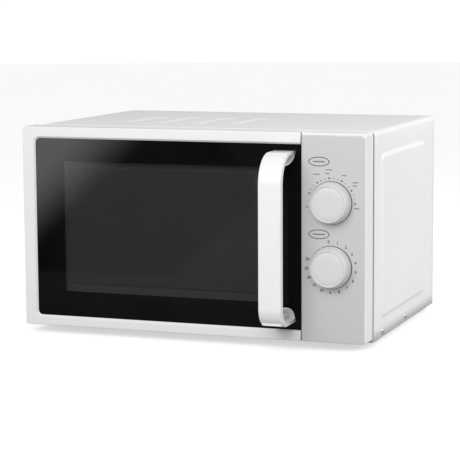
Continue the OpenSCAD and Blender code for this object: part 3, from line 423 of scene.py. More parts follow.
def weld(obj):
    """Joins the doubled points of a CAD mesh."""
    obj.modifiers.new("weld", "WELD").merge_threshold = WELD_GAP


def soften(node, width):
    """Rounds the edges of a CAD node by modifiers, leaving its own mesh as it is."""
    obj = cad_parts[node]
    weld(obj)
    dissolve = obj.modifiers.new("facets", "DECIMATE")
    dissolve.decimate_type = "DISSOLVE"
    dissolve.angle_limit = radians(0.5)
    bevel = obj.modifiers.new("edges", "BEVEL")
    bevel.width = width
    bevel.segments = 2
    bevel.limit_method = "ANGLE"
    bevel.angle_limit = radians(40.0)
    shade(obj.data)
    weigh_normals(obj)


def evaluated_mesh(obj):
    """New mesh of an object as its modifiers or its curve make it."""
    bpy.context.view_layer.update()
    return bpy.data.meshes.new_from_object(obj.evaluated_get(bpy.context.evaluated_depsgraph_get()))


def loop_at(bm, outline, y):
    """New points of an outline of (x, z) points at one depth."""
    return [bm.verts.new((x, y, z)) for x, z in outline]


def pairs(count):
    """Each index round a closed loop, with the next one."""
    return [(i, (i + 1) % count) for i in range(count)]


def prism(bm, outline, y0, y1):
    """Closed plate from an outline of (x, z) points, between two depths."""
    front = loop_at(bm, outline, y0)
    back = loop_at(bm, outline, y1)
    bm.faces.new(front)
    bm.faces.new(back[::-1])
    for i, j in pairs(len(outline)):
        bm.faces.new((front[j], front[i], back[i], back[j]))


def ring_plate(bm, outer, inner, y0, y1):
    """Closed plate between two outlines with the same number of points."""
    front_out, front_in = loop_at(bm, outer, y0), loop_at(bm, inner, y0)
    back_out, back_in = loop_at(bm, outer, y1), loop_at(bm, inner, y1)
    walls = ((front_out, front_in), (back_in, back_out), (back_out, front_out), (front_in, back_in))
    for i, j in pairs(len(outer)):
        for a, b in walls:
            bm.faces.new((a[i], a[j], b[j], b[i]))


def join_loops(bm, loops):
    """Bands of faces from each loop of points to the next."""
    for a, b in zip(loops, loops[1:]):
        for i, j in pairs(len(a)):
            bm.faces.new((a[i], a[j], b[j], b[i]))


def loft(bm, levels):
    """Skin over outlines of (x, z) points at their depths, closed at its ends."""
    loops = [loop_at(bm, outline, y) for outline, y in levels]
    join_loops(bm, loops)
    bm.faces.new(loops[0])
    bm.faces.new(loops[-1])


def disc_outline(x, z, radius_x, radius_z=None, steps=24):
    radius_z = radius_z or radius_x
    angles = [2.0 * pi * i / steps for i in range(steps)]
    return [(x + radius_x * cos(a), z + radius_z * sin(a)) for a in angles]


def round_rect(x0, x1, z0, z1, radii, steps=8):
    """Rectangle outline; radii are for its corners top right, top left, low left, low right."""
    corners = ((x1, z1), (x0, z1), (x0, z0), (x1, z0))
    signs = ((-1, -1), (1, -1), (1, 1), (-1, 1))
    outline = []
    for k, ((x, z), (sx, sz), r) in enumerate(zip(corners, signs, radii)):
        for i in range(steps + 1):
            a = radians(90.0 * k + 90.0 * i / steps)
            outline.append((x + sx * r + r * cos(a), z + sz * r + r * sin(a)))
    return outline


def smooth_step(value):
    t = np.clip(value, 0.0, 1.0)
    return t * t * (3.0 - 2.0 * t)


def inside_round_rect(u, v, u_span, v_span, radius):
    """How far a point lies inside a rounded rectangle, negative outside."""
    qu, qv = (np.abs(place - (low + high) / 2) - (high - low) / 2 + radius
              for place, (low, high) in ((u, u_span), (v, v_span)))
    outside = np.hypot(np.maximum(qu, 0.0), np.maximum(qv, 0.0))
    return radius - outside - np.minimum(np.maximum(qu, qv), 0.0)


def even_steps(low, high, step):
    """Places from low to high, about a step apart."""
    count = max(1, round((high - low) / step))
    return [round(low + (high - low) * i / count, 6) for i in range(count + 1)]


def stations(start, end, zones):
    """Grid lines from start to end, coarse apart from the fine zones."""
    marks = set(even_steps(start, end, COARSE))
    for low, high in zones:
        marks = {m for m in marks if not low < m < high}
        marks.update(even_steps(low, high, FINE))
    slack = 1e-5
    return sorted(m for m in marks if start - slack <= m <= end + slack)


# ---- cabinet ----

SHEET = 0.8 * MM
EMBOSS = 1.0 * MM
PANEL_RISE = 1.95 * MM
RIB_DEPTH = 1.5 * MM
BEND = 6.0 * MM
PANEL_Y = (behind_front(70), behind_front(277))
PANEL_Z = (front_z(19), front_z(219))
PANEL_CORNER = 8.0 * MM
PANEL_BEVEL = 5.0 * MM
RIBS_X = [x * MM for x in (-120, -73, -26, 21)]
RIB_HALF = 12.0 * MM
RIB_Y = (behind_front(112), behind_front(215))
RIB_BEVEL = 7.0 * MM


def edge_zones(span, width):
    """Zones of a width in millimetres just inside the two ends of a span."""
    return [(span[0] - MM, span[0] + width * MM), (span[1] - width * MM, span[1] + MM)]


def cabinet_profile():
    """Points (x, z) and outward directions round the cabinet, left to right."""
    half = -CAB_LO.x - EMBOSS
    top = CAB_HI.z
    heights = stations(CAB_LO.z, top - BEND, edge_zones(PANEL_Z, 12))
    rib_edges = [(x + s * RIB_HALF, s) for x in RIBS_X for s in (-1, 1)]
    zones = [(min(e, e - 8 * s * MM) - 0.5 * MM, max(e, e - 8 * s * MM) + 0.5 * MM) for e, s in rib_edges]
    spans = stations(-half + BEND, half - BEND, zones)
    rows = [(-half, z, -1.0, 0.0) for z in heights]
    bends = [radians(a) for a in range(170, 90, -10)]
    for a in bends:
        c, s = cos(a), sin(a)
        rows.append((-half + BEND * (1 + c), top - BEND * (1 - s), c, s))
    rows += [(x, top, 0.0, 1.0) for x in spans]
    rows += [(-x, z, -nx, nz) for x, z, nx, nz in rows[len(heights):len(heights) + len(bends)][::-1]]
    rows += [(half, z, 1.0, 0.0) for z in heights[::-1]]
    return np.array(rows)


def cabinet_shell():
    """One folded sheet: raised side panels, recessed roof ribs and a flange at the back."""
    profile = cabinet_profile()
    depths = stations(CAB_LO.y, CAB_HI.y - 1.2 * MM, edge_zones(PANEL_Y, 12) + edge_zones(RIB_Y, 9))
    x, z, nx, nz = profile.T[:, None, :]
    y = np.array(depths)[:, None]
    side = PANEL_RISE * smooth_step(inside_round_rect(y, z, PANEL_Y, PANEL_Z, PANEL_CORNER) / PANEL_BEVEL)
    lift = np.where(np.abs(nx) > 0.999, side, 0.0)
    for rib in RIBS_X:
        depth = inside_round_rect(x, y, (rib - RIB_HALF, rib + RIB_HALF), RIB_Y, 4 * MM)
        lift = lift - np.where(nz > 0.999, RIB_DEPTH * smooth_step(depth / RIB_BEVEL), 0.0)
    body = np.stack([x + nx * lift, y + 0 * lift, z + nz * lift], axis=-1)
    rows = [body]
    # the bend to the back and the flange that carries the rear screws
    for inset, back in ((0.15, 0.75), (0.5, 0.3), (1.2, 0.0), (3.5, 0.0), (8.0, 0.0), (12.0, 0.0)):
        moved = np.minimum(inset * MM, BEND)
        extra = inset * MM - moved
        px = x - nx * moved - np.sign(x) * extra * (np.abs(nx) > 0.001)
        pz = z - nz * moved - extra * (nz > 0.001)
        rows.append(np.stack([px, np.full_like(px, CAB_HI.y - back * MM), pz], axis=-1))
    points = np.concatenate(rows, axis=0)
    mesh = mesh_from_grid(points, "cabinet_shell")
    shell = add_piece("cabinet_shell", mesh, "root", "white_enamel", replaces=["outer_cabinet"])
    thick = shell.modifiers.new("sheet", "SOLIDIFY")
    thick.thickness = SHEET
    thick.offset = -1.0


# ---- door ----

GLASS_TUCK = 2.6 * MM


def rail_outline(drawn_in, opening, radius):
    """Outline of (x, z) points open at the right: top rail, left stile, low rail.

    It follows the door's outside or its glass opening, drawn in by a distance in millimetres.
    """
    if opening:
        left, low, top = GLASS_LO.x + GLASS_TUCK, GLASS_LO.z + GLASS_TUCK, GLASS_HI.z - GLASS_TUCK
    else:
        left, low, top = DOOR_LO.x, DOOR_LO.z, DOOR_HI.z
    inset = drawn_in * MM
    corner = round_rect(left + inset, DOOR_HI.x + 20 * MM, low + inset, top - inset, (radius * MM,) * 4)
    per_corner = len(corner) // 4
    return [(DOOR_HI.x, top - inset)] + corner[per_corner:3 * per_corner] + [(DOOR_HI.x, low + inset)]


def door_frame():
    """White frame: a rounded front round the glass, and the CAD shell behind it."""
    glass_y0 = (GLASS_LO.y - FRONT_Y) / MM
    glass_y1 = (GLASS_HI.y - FRONT_Y) / MM
    # (drawn in, round the opening, corner radius, depth)
    levels = ((0.0, False, 3.0, glass_y1), (0.0, False, 3.0, 1.2), (0.1, False, 2.9, 0.6),
              (0.4, False, 2.6, 0.18), (1.1, False, 2.0, 0.0), (-2.6, True, 8.2, 0.0),
              (-2.4, True, 8.0, 0.05), (-2.1, True, 7.8, 0.2), (-0.1, True, 6.1, glass_y0 - 0.2),
              (0.0, True, 6.0, glass_y0 + 0.1), (-2.6, True, 1.0, glass_y0 + 0.1),
              (-2.6, True, 1.0, glass_y1))
    bm = bmesh.new()
    loops = [loop_at(bm, rail_outline(*shape), behind_front(depth)) for *shape, depth in levels]
    for a, b in zip(loops, loops[1:] + loops[:1]):
        for i in range(len(a) - 1):
            bm.faces.new((a[i], a[i + 1], b[i + 1], b[i]))
    bm.faces.new([loop[0] for loop in loops])
    bm.faces.new([loop[-1] for loop in loops][::-1])
    weigh_normals(add_shape("door_frame_front", bm, "door", "white_plastic", replaces=["door_frame"],
                            smooth=True))
    margin = Vector((MM, MM, MM))
    back = cut_copy("door_frame", DOOR_LO - margin, Vector((DOOR_HI.x + MM, GLASS_HI.y, DOOR_HI.z + MM)))
    add_piece("door_frame_back", smooth_by_angle(back), "door", "white_plastic")


VIEW = (front_x(55), front_x(310), front_z(44), front_z(205))
VIEW_CORNER = 1.0 * MM
BAND_SIDE = 13.0 * MM
BAND_ABOVE = 6.0 * MM
FACE_T = 0.4 * MM


def door_glass():
    """Glass front: a black border, a ring of fine dots, a clear window and the pane's black edge."""
    x0, x1, z0, z1 = VIEW
    face_y = GLASS_LO.y + FACE_T
    outer = round_rect(GLASS_LO.x, GLASS_HI.x, GLASS_LO.z, GLASS_HI.z, (MM,) * 4)
    band = round_rect(x0 - BAND_SIDE, x1 + BAND_SIDE, z0 - BAND_ABOVE, z1 + BAND_ABOVE, (9 * MM,) * 4)
    view = round_rect(x0, x1, z0, z1, (VIEW_CORNER,) * 4)
    rings = (("door_glass_pane", outer, band, face_y, GLASS_HI.y, None, ["door_glass"]),
             ("door_glass_border", outer, band, GLASS_LO.y, face_y, None, ()),
             ("door_glass_band", band, view, GLASS_LO.y, face_y, GLASS_BAND, ()))
    for name, far, near, y0, y1, material, replaces in rings:
        bm = bmesh.new()
        ring_plate(bm, far, near, y0, y1)
        add_shape(name, bm, "door", "smoked_glass", material, replaces)
    bm = bmesh.new()
    prism(bm, view, GLASS_LO.y, face_y)
    window = add_shape("door_glass_window", bm, "door", "smoked_glass", WINDOW_GLASS)
    # the sheet behind the dark window still gets its light
    window.visible_shadow = False


HOLE_PITCH = 3.2 * MM
HOLE_RADIUS = 1.0 * MM
HOLE_STEPS = 8
FIELD_RISE = 1.5 * MM
AROUND = ((1, 0), (1, 1), (0, 1), (-1, 1), (-1, 0), (-1, -1), (0, -1), (1, -1))
HALF_CELL = ((0, -1), (1, -1), (1, 0), (1, 1), (0, 1), (0, 0))


class PerforatedSheet:
    """Closed sheet with upright rows of staggered round holes that fills a rectangle."""

    def __init__(self, x_span, z_span, y_span):
        self.columns = round((z_span[1] - z_span[0]) / HOLE_PITCH)
        self.rows = round((x_span[1] - x_span[0]) / HOLE_PITCH)
        self.half_z = (z_span[1] - z_span[0]) / self.columns / 2
        self.half_x = (x_span[1] - x_span[0]) / self.rows / 2
        self.spans = (x_span, y_span, z_span)
        self.verts = []
        self.faces = []
        self.lattice = {}

    def add_vert(self, i, k, side, along_z=0.0, along_x=0.0):
        """Point on the lattice of half cells, i steps up and k steps to the right."""
        x_span, y_span, z_span = self.spans
        place_z = z_span[0] + i * self.half_z + along_z
        self.verts.append((x_span[0] + k * self.half_x + along_x, y_span[side], place_z))
        return len(self.verts) - 1

    def shared(self, i, k, side):
        """Lattice point that the cells beside it use too."""
        key = (i, k, side)
        if key not in self.lattice:
            self.lattice[key] = self.add_vert(*key)
        return self.lattice[key]

    def add_face(self, loop, side):
        self.faces.append(loop[::-1] if side == 0 else loop)

    def add_hole(self, i, k):
        rings = []
        for side in (0, 1):
            ring = []
            for step in range(HOLE_STEPS):
                a = radians(360.0 / HOLE_STEPS * step)
                ring.append(self.add_vert(i, k, side, HOLE_RADIUS * cos(a), HOLE_RADIUS * sin(a)))
            outer = [self.shared(i + a, k + b, side) for a, b in AROUND]
            for s, t in pairs(HOLE_STEPS):
                self.add_face((ring[s], outer[s], outer[t], ring[t]), side)
            rings.append(ring)
        front, back = rings
        for s, t in pairs(HOLE_STEPS):
            self.faces.append((back[s], back[t], front[t], front[s]))

    def add_row(self, row):
        """Holes of one row; every second row is shifted and has a half cell at each end."""
        shift = row % 2
        k = 2 * row + 1
        for i in (0, 2 * self.columns - 1) if shift else ():
            for side in (0, 1):
                self.add_face([self.shared(i + a, k + b, side) for a, b in HALF_CELL], side)
        for column in range(self.columns - shift):
            self.add_hole(2 * column + 1 + shift, k)

    def add_rim(self):
        up, right = 2 * self.columns, 2 * self.rows
        edges = [(i, 0) for i in range(up)] + [(up, k) for k in range(right)]
        edges += [(i, right) for i in range(up, 0, -1)] + [(0, k) for k in range(right, 0, -1)]
        for a, b in zip(edges, edges[1:] + edges[:1]):
            corners = ((*b, 1), (*a, 1), (*a, 0), (*b, 0))
            self.faces.append([self.shared(*corner) for corner in corners])

    def mesh(self, name):
        for row in range(self.rows):
            self.add_row(row)
        self.add_rim()
        mesh = bpy.data.meshes.new(name)
        mesh.from_pydata(self.verts, [], self.faces)
        mesh.update()
        return mesh


def cut_copy(node, lo, hi):
    """Copy of a CAD node's mesh with a box taken out of it."""
    source = new_object("cut_source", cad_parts[node].data.copy())
    bm = bmesh.new()
    bmesh.ops.create_cube(bm, size=1.0)
    for vert in bm.verts:
        vert.co = Vector([lo[i] if vert.co[i] < 0 else hi[i] for i in range(3)])
    cutter = new_object("cutter", mesh_from(bm, "cutter", False))
    weld(source)
    boolean = source.modifiers.new("cut", "BOOLEAN")
    boolean.operation = "DIFFERENCE"
    boolean.solver = "EXACT"
    boolean.object = cutter
    mesh = evaluated_mesh(source)
    for spare in (source, cutter):
        bpy.data.objects.remove(spare)
    return mesh


def door_screen():
    """Metal inner door: folded tray with a raised field that holds the perforated sheet."""
    x0, x1, z0, z1 = FILM_LO.x, FILM_HI.x, FILM_LO.z, FILM_HI.z
    lo = Vector((x0, SCREEN_LO.y - MM, z0))
    hi = Vector((x1, SCREEN_LO.y + SHEET, z1))
    add_piece("screen_tray", cut_copy("door_screen", lo, hi), "door", "zinc_sheet", SCREEN_PAINT,
              replaces=["door_screen"])
    y = SCREEN_LO.y
    rise = FIELD_RISE
    left, right, low, high = front_x(40), front_x(322), front_z(52), front_z(196)
    foot = round_rect(left, right, low, high, (6 * MM,) * 4)
    top = round_rect(left + rise, right - rise, low + rise, high - rise, (5 * MM,) * 4)
    hole = round_rect(x0, x1, z0, z1, (0.01 * MM,) * 4)
    bm = bmesh.new()
    lines = ((foot, y), (top, y - rise), (hole, y - rise), (hole, y - rise + SHEET), (hole, y))
    loops = [loop_at(bm, line, depth) for line, depth in lines]
    join_loops(bm, loops + loops[:1])
    add_shape("screen_field", bm, "door", "zinc_sheet", SCREEN_PAINT)
    sheet = PerforatedSheet((x0, x1), (z0, z1), (y - rise, y - rise + SHEET))
    add_piece("screen_sheet", sheet.mesh("screen_sheet"), "door", "zinc_sheet", SCREEN_PAINT)


# ---- handle ----

HANDLE_X = (HANDLE_LO.x + HANDLE_HI.x) / 2
HANDLE_HALF = (HANDLE_HI.x - HANDLE_LO.x) / 2
STRAP_T = 9.0 * MM
BAND_T = 3.0 * MM
BEND_TOP = 36.0 * MM
BEND_LOW = 24.0 * MM
CHEEK_INSET = 1.6 * MM
CHEEK_WALL = 1.3 * MM
CHEEK_WEB = 1.5 * MM


def arc_points(y, z, radius, first, last, steps=14):
    """Points (y, z) of an arc between two angles in degrees."""
    angles = np.radians(np.linspace(first, last, steps + 1))
    return [(y + radius * cos(a), z + radius * sin(a)) for a in angles]


def strap_side(inset_y, inset_z):
    """Side line of the handle from its upper end to its lower one, as (y, z) points."""
    front = HANDLE_LO.y + inset_y
    top, low = HANDLE_HI.z - inset_z, HANDLE_LO.z + inset_z
    upper, lower = BEND_TOP - inset_z, BEND_LOW - inset_z
    line = [(HANDLE_HI.y, top)] + arc_points(front + upper, top - upper, upper, 90.0, 180.0)
    line += arc_points(front + lower, low + lower, lower, 180.0, 270.0) + [(HANDLE_HI.y, low)]
    return line


def strap_section(depth):
    """Rounded section of the strap as (x, depth) points round its middle."""
    half = HANDLE_HALF
    outer_r = min(1.4 * MM, 0.42 * depth)
    inner_r = min(0.9 * MM, 0.28 * depth)
    section = []
    corners = ((half, 0.0, -1, 1, outer_r, -90), (half, depth, -1, -1, inner_r, 0),
               (-half, depth, 1, -1, inner_r, 90), (-half, 0.0, 1, 1, outer_r, 180))
    for x, v, sx, sv, r, first in corners:
        for step in range(5):
            a = radians(first + 22.5 * step)
            section.append((x + sx * r + r * cos(a), v + sv * r + r * sin(a)))
    return section


def handle_strap():
    """Strap of the handle: thick in front, thinner where it bends back to the glass."""
    bm = bmesh.new()
    loops = []
    for (oy, oz), (iy, iz) in zip(strap_side(0.0, 0.0), strap_side(STRAP_T, BAND_T)):
        depth = hypot(iy - oy, iz - oz)
        ny, nz = (iy - oy) / depth, (iz - oz) / depth
        section = strap_section(depth)
        loops.append([bm.verts.new((HANDLE_X + x, oy + ny * v, oz + nz * v)) for x, v in section])
    join_loops(bm, loops)
    bm.faces.new(loops[0])
    bm.faces.new(loops[-1][::-1])
    weigh_normals(add_shape("handle_strap", bm, "door", "white_plastic", replaces=["door_handle"],
                            smooth=True))


def drawn_in_polygon(points, distance):
    """Convex polygon moved inward by a distance at each side."""
    ring = np.array(points)
    area = np.cross(ring, np.roll(ring, -1, axis=0)).sum()
    before = ring - np.roll(ring, 1, axis=0)
    after = np.roll(ring, -1, axis=0) - ring
    normals = []
    for edge in (before, after):
        unit = edge / np.linalg.norm(edge, axis=1)[:, None]
        normals.append(np.stack([-unit[:, 1], unit[:, 0]], axis=1) * np.sign(area))
    mean = normals[0] + normals[1]
    mean /= np.linalg.norm(mean, axis=1)[:, None]
    share = np.maximum((mean * normals[1]).sum(axis=1), 0.35)
    return ring + mean * (distance / share)[:, None]


def handle_cheek(name, outline):
    """Corner between the handle and the glass, hollow from both sides, with a rounded rim."""
    rim = HANDLE_HALF - CHEEK_INSET
    # (distance from the middle, how far the outline is drawn in)
    side = ((rim - 0.8 * MM, 0.0), (rim - 0.2 * MM, 0.15 * MM), (rim, 0.5 * MM), (rim, CHEEK_WALL - 0.3 * MM),
            (rim - 0.3 * MM, CHEEK_WALL), (CHEEK_WEB + 1.5 * MM, CHEEK_WALL + 0.4 * MM),
            (CHEEK_WEB, CHEEK_WALL + 1.6 * MM))
    levels = [(-x, inset) for x, inset in side[::-1]] + list(side)
    bm = bmesh.new()
    loops = []
    for x, inset in levels:
        loops.append([bm.verts.new((HANDLE_X + x, y, z)) for y, z in drawn_in_polygon(outline, inset)])
    join_loops(bm, loops)
    bm.faces.new(loops[0])
    bm.faces.new(loops[-1][::-1])
    add_piece(name, smooth_by_angle(mesh_from(bm, name), 50.0), "door", "white_plastic")


def handle_cheeks():
    """The two cheeks, one at each end of the strap."""
    y1 = HANDLE_HI.y
    for name, z, up, flat, arc, height in (("handle_cheek_top", HANDLE_HI.z - BAND_T, -1, 10.0, 33.0, 11.7),
                                           ("handle_cheek_low", HANDLE_LO.z + BAND_T, 1, 0.5, 49.5, 20.5)):
        outline = [(y1 - (flat + arc) * MM, z), (y1 - (flat + arc) * MM, z + up * height * MM)]
        for a in np.radians(np.linspace(90.0, 0.0, 17)):
            outline.append((y1 + arc * MM * (cos(a) - 1.0), z + up * height * MM * sin(a)))
        handle_cheek(name, outline)


def handle_bosses():
    """Bosses inside the cheeks that hold the handle's screws."""
    bm = bmesh.new()
    for z in (HANDLE_LO.z + 9 * MM, HANDLE_HI.z - 9 * MM):
        radii = ((4.4, 0.0), (4.2, 17.0), (3.8, 18.2), (2.6, 19.0))
        levels = [(disc_outline(HANDLE_X, z, r * MM, steps=32), HANDLE_HI.y - back * MM) for r, back in radii]
        loft(bm, levels)
    bosses = mesh_from(bm, "handle_bosses")
    add_piece("handle_bosses", smooth_by_angle(bosses), "door", "white_plastic")


# ---- controls ----

# the bezel in millimetres; its lips are at the left, right, low and top
LIPS = (0.5, 1.4, 0.4, 3.0)
SEAT_DEPTH = 1.6
HOUSING_WALL = 2.2
SHELL_DEPTH = 30.0
EDGE_DEPTH = 1.5


def panel_outline(left, right, low, top, radii):
    """Outline of the control bezel, drawn in by a distance in millimetres on each side."""
    return round_rect(HOUSING_LO.x + left * MM, HOUSING_HI.x - right * MM, HOUSING_LO.z + low * MM,
                      HOUSING_HI.z - top * MM, tuple(r * MM for r in radii))


def control_housing():
    """White bezel with soft front edges and a shallow seat for the silver fascia."""
    wall = HOUSING_WALL
    corners = (3.0,) * 4
    seat = panel_outline(*LIPS, (5.5, 0.3, 0.3, 2.0))
    inner = panel_outline(wall, wall, wall, wall, (0.8,) * 4)
    outer = panel_outline(0, 0, 0, 0, corners)
    levels = [(inner, SEAT_DEPTH + wall), (inner, SHELL_DEPTH), (outer, SHELL_DEPTH), (outer, EDGE_DEPTH)]
    for a in (22.5, 45.0, 67.5, 90.0):
        slip = 1.0 - cos(radians(a))
        rise = 1.0 - sin(radians(a))
        edge = panel_outline(0.3 * slip, 1.2 * slip, 0.3 * slip, 1.5 * slip, corners)
        levels.append((edge, EDGE_DEPTH * rise))
    levels += [(seat, 0.0), (seat, SEAT_DEPTH)]
    bm = bmesh.new()
    loft(bm, [(outline, behind_front(y)) for outline, y in levels])
    add_shape("control_housing_piece", bm, "root", "white_plastic", replaces=["control_housing"])
    # black strip in the groove between bezel and cabinet: painted shade that stands in for the groove's
    # shadow
    strip = bmesh.new()
    far = panel_outline(1.0, 0.8, 0.8, 1.0, (2.0,) * 4)
    near = panel_outline(2.1, 2.1, 2.1, 2.1, (1.0,) * 4)
    ring_plate(strip, far, near, behind_front(SHELL_DEPTH - 1.0), CAB_LO.y - 1.05 * MM)
    add_shape("control_housing_strip", strip, "root", "black_plastic")


def housing_lugs():
    """Lugs that stand on the front frame; their tips are set in from the walls."""
    depth = (HOUSING_HI.y - HOUSING_LO.y) / MM
    wall = HOUSING_WALL * MM
    lugs = bmesh.new()
    for z in (HOUSING_LO.z + 22 * MM, HOUSING_HI.z - 32 * MM):
        for wall_x, inward in ((HOUSING_LO.x + wall, 1), (HOUSING_HI.x - wall, -1)):
            for near, far, y0, y1 in ((0, 10, 20, 28), (6, 10, 27.9, depth)):
                x = sorted((wall_x + inward * near * MM, wall_x + inward * far * MM))
                outline = round_rect(x[0], x[1], z, z + 10 * MM, (0.5 * MM,) * 4, 3)
                prism(lugs, outline, behind_front(y0), behind_front(y1))
    add_shape("control_housing_lugs", lugs, "root", "white_plastic")


def control_fascia():
    """Silver plate in the bezel with softly rounded edges."""
    bm = bmesh.new()
    levels = []
    # (drawn in from the lips, depth)
    for inset, y in ((0.0, SEAT_DEPTH), (0.0, 0.6), (0.12, 0.28), (0.35, 0.09), (0.7, 0.0)):
        sides = [lip + inset for lip in LIPS]
        levels.append((panel_outline(*sides, (5.4, 0.8, 0.8, 2.0)), behind_front(y)))
    loft(bm, levels)
    add_shape("control_fascia_piece", bm, "root", "silver_plastic", replaces=["control_fascia"])


def dial_centre(node):
    lo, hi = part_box(node)
    return (lo.x + hi.x) / 2, (lo.z + hi.z) / 2


def dial_wells():
    """Black rings under the edges of the two dials: painted shadow of the gap between each dial and the
    fascia.
    """
    bm = bmesh.new()
    for node in ("power_dial", "timer_dial"):
        x, z = dial_centre(node)
        outer = disc_outline(x, z, 25.5 * MM, steps=96)
        inner = disc_outline(x, z, 20.0 * MM, steps=96)
        # painted shadow: the ring shows as a thin dark line round each dial's base
        ring_plate(bm, outer, inner, FASCIA_LO.y - 0.08 * MM, FASCIA_LO.y + 0.4 * MM)
    add_shape("dial_wells", bm, "root", "black_plastic")


# (radius, height) in millimetres from the dial's base
DIAL_PROFILE = [(22.4, 0.0), (24.6, 0.0), (24.9, 0.25), (25.0, 0.7), (24.9, 1.3), (24.2, 4.0), (23.4, 7.0),
                (22.6, 10.0), (22.1, 12.4), (21.9, 13.1), (21.6, 13.65), (21.2, 13.9), (20.8, 14.0),
                (20.5, 13.9), (20.3, 13.2), (20.1, 12.7), (19.4, 12.7), (19.2, 13.2), (18.8, 13.4),
                (12.0, 13.3), (6.0, 13.25), (0.2, 13.25)]


def dial(node, body):
    """Turned dial with a soft rim, a groove round its face and a pointer groove at its top."""
    cx, cz = dial_centre(node)
    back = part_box(node)[1].y
    steps = 144
    angles = np.radians(90.0 + np.linspace(0.0, 360.0, steps, endpoint=False))
    radius, height = np.array(DIAL_PROFILE).T[:, :, None] * MM
    near_top = np.minimum(np.arange(steps), steps - np.arange(steps))[None, :]
    groove = (near_top <= 1) & (radius > 15 * MM) & (height > 11 * MM)
    height = height - np.where(groove, 0.8 * MM, 0.0)
    x = cx + radius * np.cos(angles)
    z = cz + radius * np.sin(angles)
    points = np.stack([x, back - height, z + 0 * height], axis=-1)
    mesh = mesh_from_grid(points, node, closed=True)
    bm = bmesh.new()
    bm.from_mesh(mesh)
    bpy.data.meshes.remove(mesh)
    bmesh.ops.holes_fill(bm, edges=[e for e in bm.edges if e.is_boundary])
    add_shape(node + "_piece", bm, body, "dial_plastic", replaces=[node], smooth=True)


INK_T = 0.06 * MM
INK_Y = (FASCIA_LO.y - INK_T, FASCIA_LO.y + 0.01 * MM)
NUMBER_SIZE = 4.9 * MM
OVAL_X = front_x(383)
OVALS_Z = (front_z(213.5), front_z(128.3))
SETTINGS = (158, 126, 95, 64, 32, 0)
# (across, up, length) from the upper dial's middle, where its scale has its settings
LEVEL_BARS = ((-29.8, -5.5, 4.5), (-18.2, 33.3, 8.5), (-2.9, 38.6, 8.0), (-4.6, 34.4, 5.4),
              (15.7, 32.4, 6.0), (28.9, 24.6, 7.6), (28.2, 20.8, 6.4), (30.8, -5.5, 6.0))
MINUTES = (*range(11), 15, 20, 25, 30)
FIRST_MINUTE = 96.0
MINUTE_STEP = 20.9


def number_outlines(text):
    """Mesh of a number in the XZ plane round the origin, from the built-in font."""
    curve = bpy.data.curves.new("number", "FONT")
    curve.body = text
    curve.size = NUMBER_SIZE
    curve.align_x = "CENTER"
    curve.align_y = "CENTER"
    curve.extrude = INK_T / 2
    curve.offset = 0.12 * MM
    holder = new_object("number", curve)
    mesh = evaluated_mesh(holder)
    bpy.data.objects.remove(holder)
    bpy.data.curves.remove(curve)
    mesh.transform(turn(90.0, "X"))
    return mesh


def around(centre, radius, degrees):
    """Place (x, z) at a radius in millimetres and an angle from a centre."""
    a = radians(degrees)
    return centre[0] + radius * MM * cos(a), centre[1] + radius * MM * sin(a)


def dot(bm, place, radius):
    prism(bm, disc_outline(*place, radius * MM, steps=16), *INK_Y)


def bar(bm, x, z, length, thick):
    half, tall = length * MM / 2, thick * MM / 2
    prism(bm, round_rect(x - half, x + half, z - tall, z + tall, (tall * 0.9,) * 4, 3), *INK_Y)


def power_scale(bm, bars):
    """Dots at the settings of the upper dial, small dots between them, and level bars."""
    centre = dial_centre("power_dial")
    for first, second in zip(SETTINGS, SETTINGS[1:]):
        for share in (1 / 3, 2 / 3):
            dot(bm, around(centre, 28.9, first + (second - first) * share), 0.6)
    for angle in SETTINGS:
        dot(bm, around(centre, 28.9, angle), 1.05)
    for dx, dz, length in LEVEL_BARS:
        bar(bars, centre[0] + dx * MM, centre[1] + dz * MM, length, 1.1)


def timer_scale(bm):
    """Small dots round the lower dial, and the meshes of the minutes between them."""
    centre = dial_centre("timer_dial")
    numbers = []
    for i, minute in enumerate(MINUTES):
        x, z = around(centre, 30.2, FIRST_MINUTE - MINUTE_STEP * i)
        mesh = number_outlines(str(minute))
        mesh.transform(Matrix.Translation((x, FASCIA_LO.y - INK_T / 2, z)))
        numbers.append(mesh)
        if minute != MINUTES[-1]:
            dot(bm, around(centre, 29.6, FIRST_MINUTE - MINUTE_STEP * (i + 0.5)), 0.35)
    return numbers


def fascia_print():
    """Plain marks of the two dials: ovals with a bar, dots, level bars and minutes."""
    bm = bmesh.new()
    bars = bmesh.new()
    for z in OVALS_Z:
        outer = disc_outline(OVAL_X, z, 12.9 * MM, 5.6 * MM, 48)
        inner = disc_outline(OVAL_X, z, 11.9 * MM, 4.7 * MM, 48)
        ring_plate(bm, outer, inner, *INK_Y)
        bar(bars, OVAL_X, z, 15.0, 1.5)
    power_scale(bm, bars)
    numbers = timer_scale(bm)
    add_shape("fascia_bars", bars, "root", "black_plastic", PALE_INK)
    bmesh.ops.recalc_face_normals(bm, faces=bm.faces)
    for mesh in numbers:
        bm.from_mesh(mesh)
        bpy.data.meshes.remove(mesh)
    mesh = bpy.data.meshes.new("fascia_print")
    bm.to_mesh(mesh)
    bm.free()
    add_piece("fascia_print", mesh, "root", "black_plastic", PRINT_INK)


# ---- nodes that keep their CAD shape ----

# edge radius in millimetres: nodes
EDGE_WIDTHS = {
    0.2: ("base_plate", "back_panel", "front_frame", "waveguide"),
    0.3: ("latch_board", "magnetron_yoke", "timer_unit", "power_switch_unit"),
    0.4: ("latch_hooks", "turntable_motor", "roller_1", "roller_2", "roller_3", "fan_shroud"),
    0.5: ("choke_cover", "air_duct", "capacitor", "turntable_coupler"),
    0.6: ("roller_ring",),
}


def dress_nodes():
    """Gives every CAD node its slot's material and rounds the edges that show."""
    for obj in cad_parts.values():
        for slot in obj.material_slots:
            slot.material = MATERIALS[slot.material.name.split(".")[0]]
    for width, nodes in EDGE_WIDTHS.items():
        for node in nodes:
            soften(node, width * MM)


# ---- stage ----

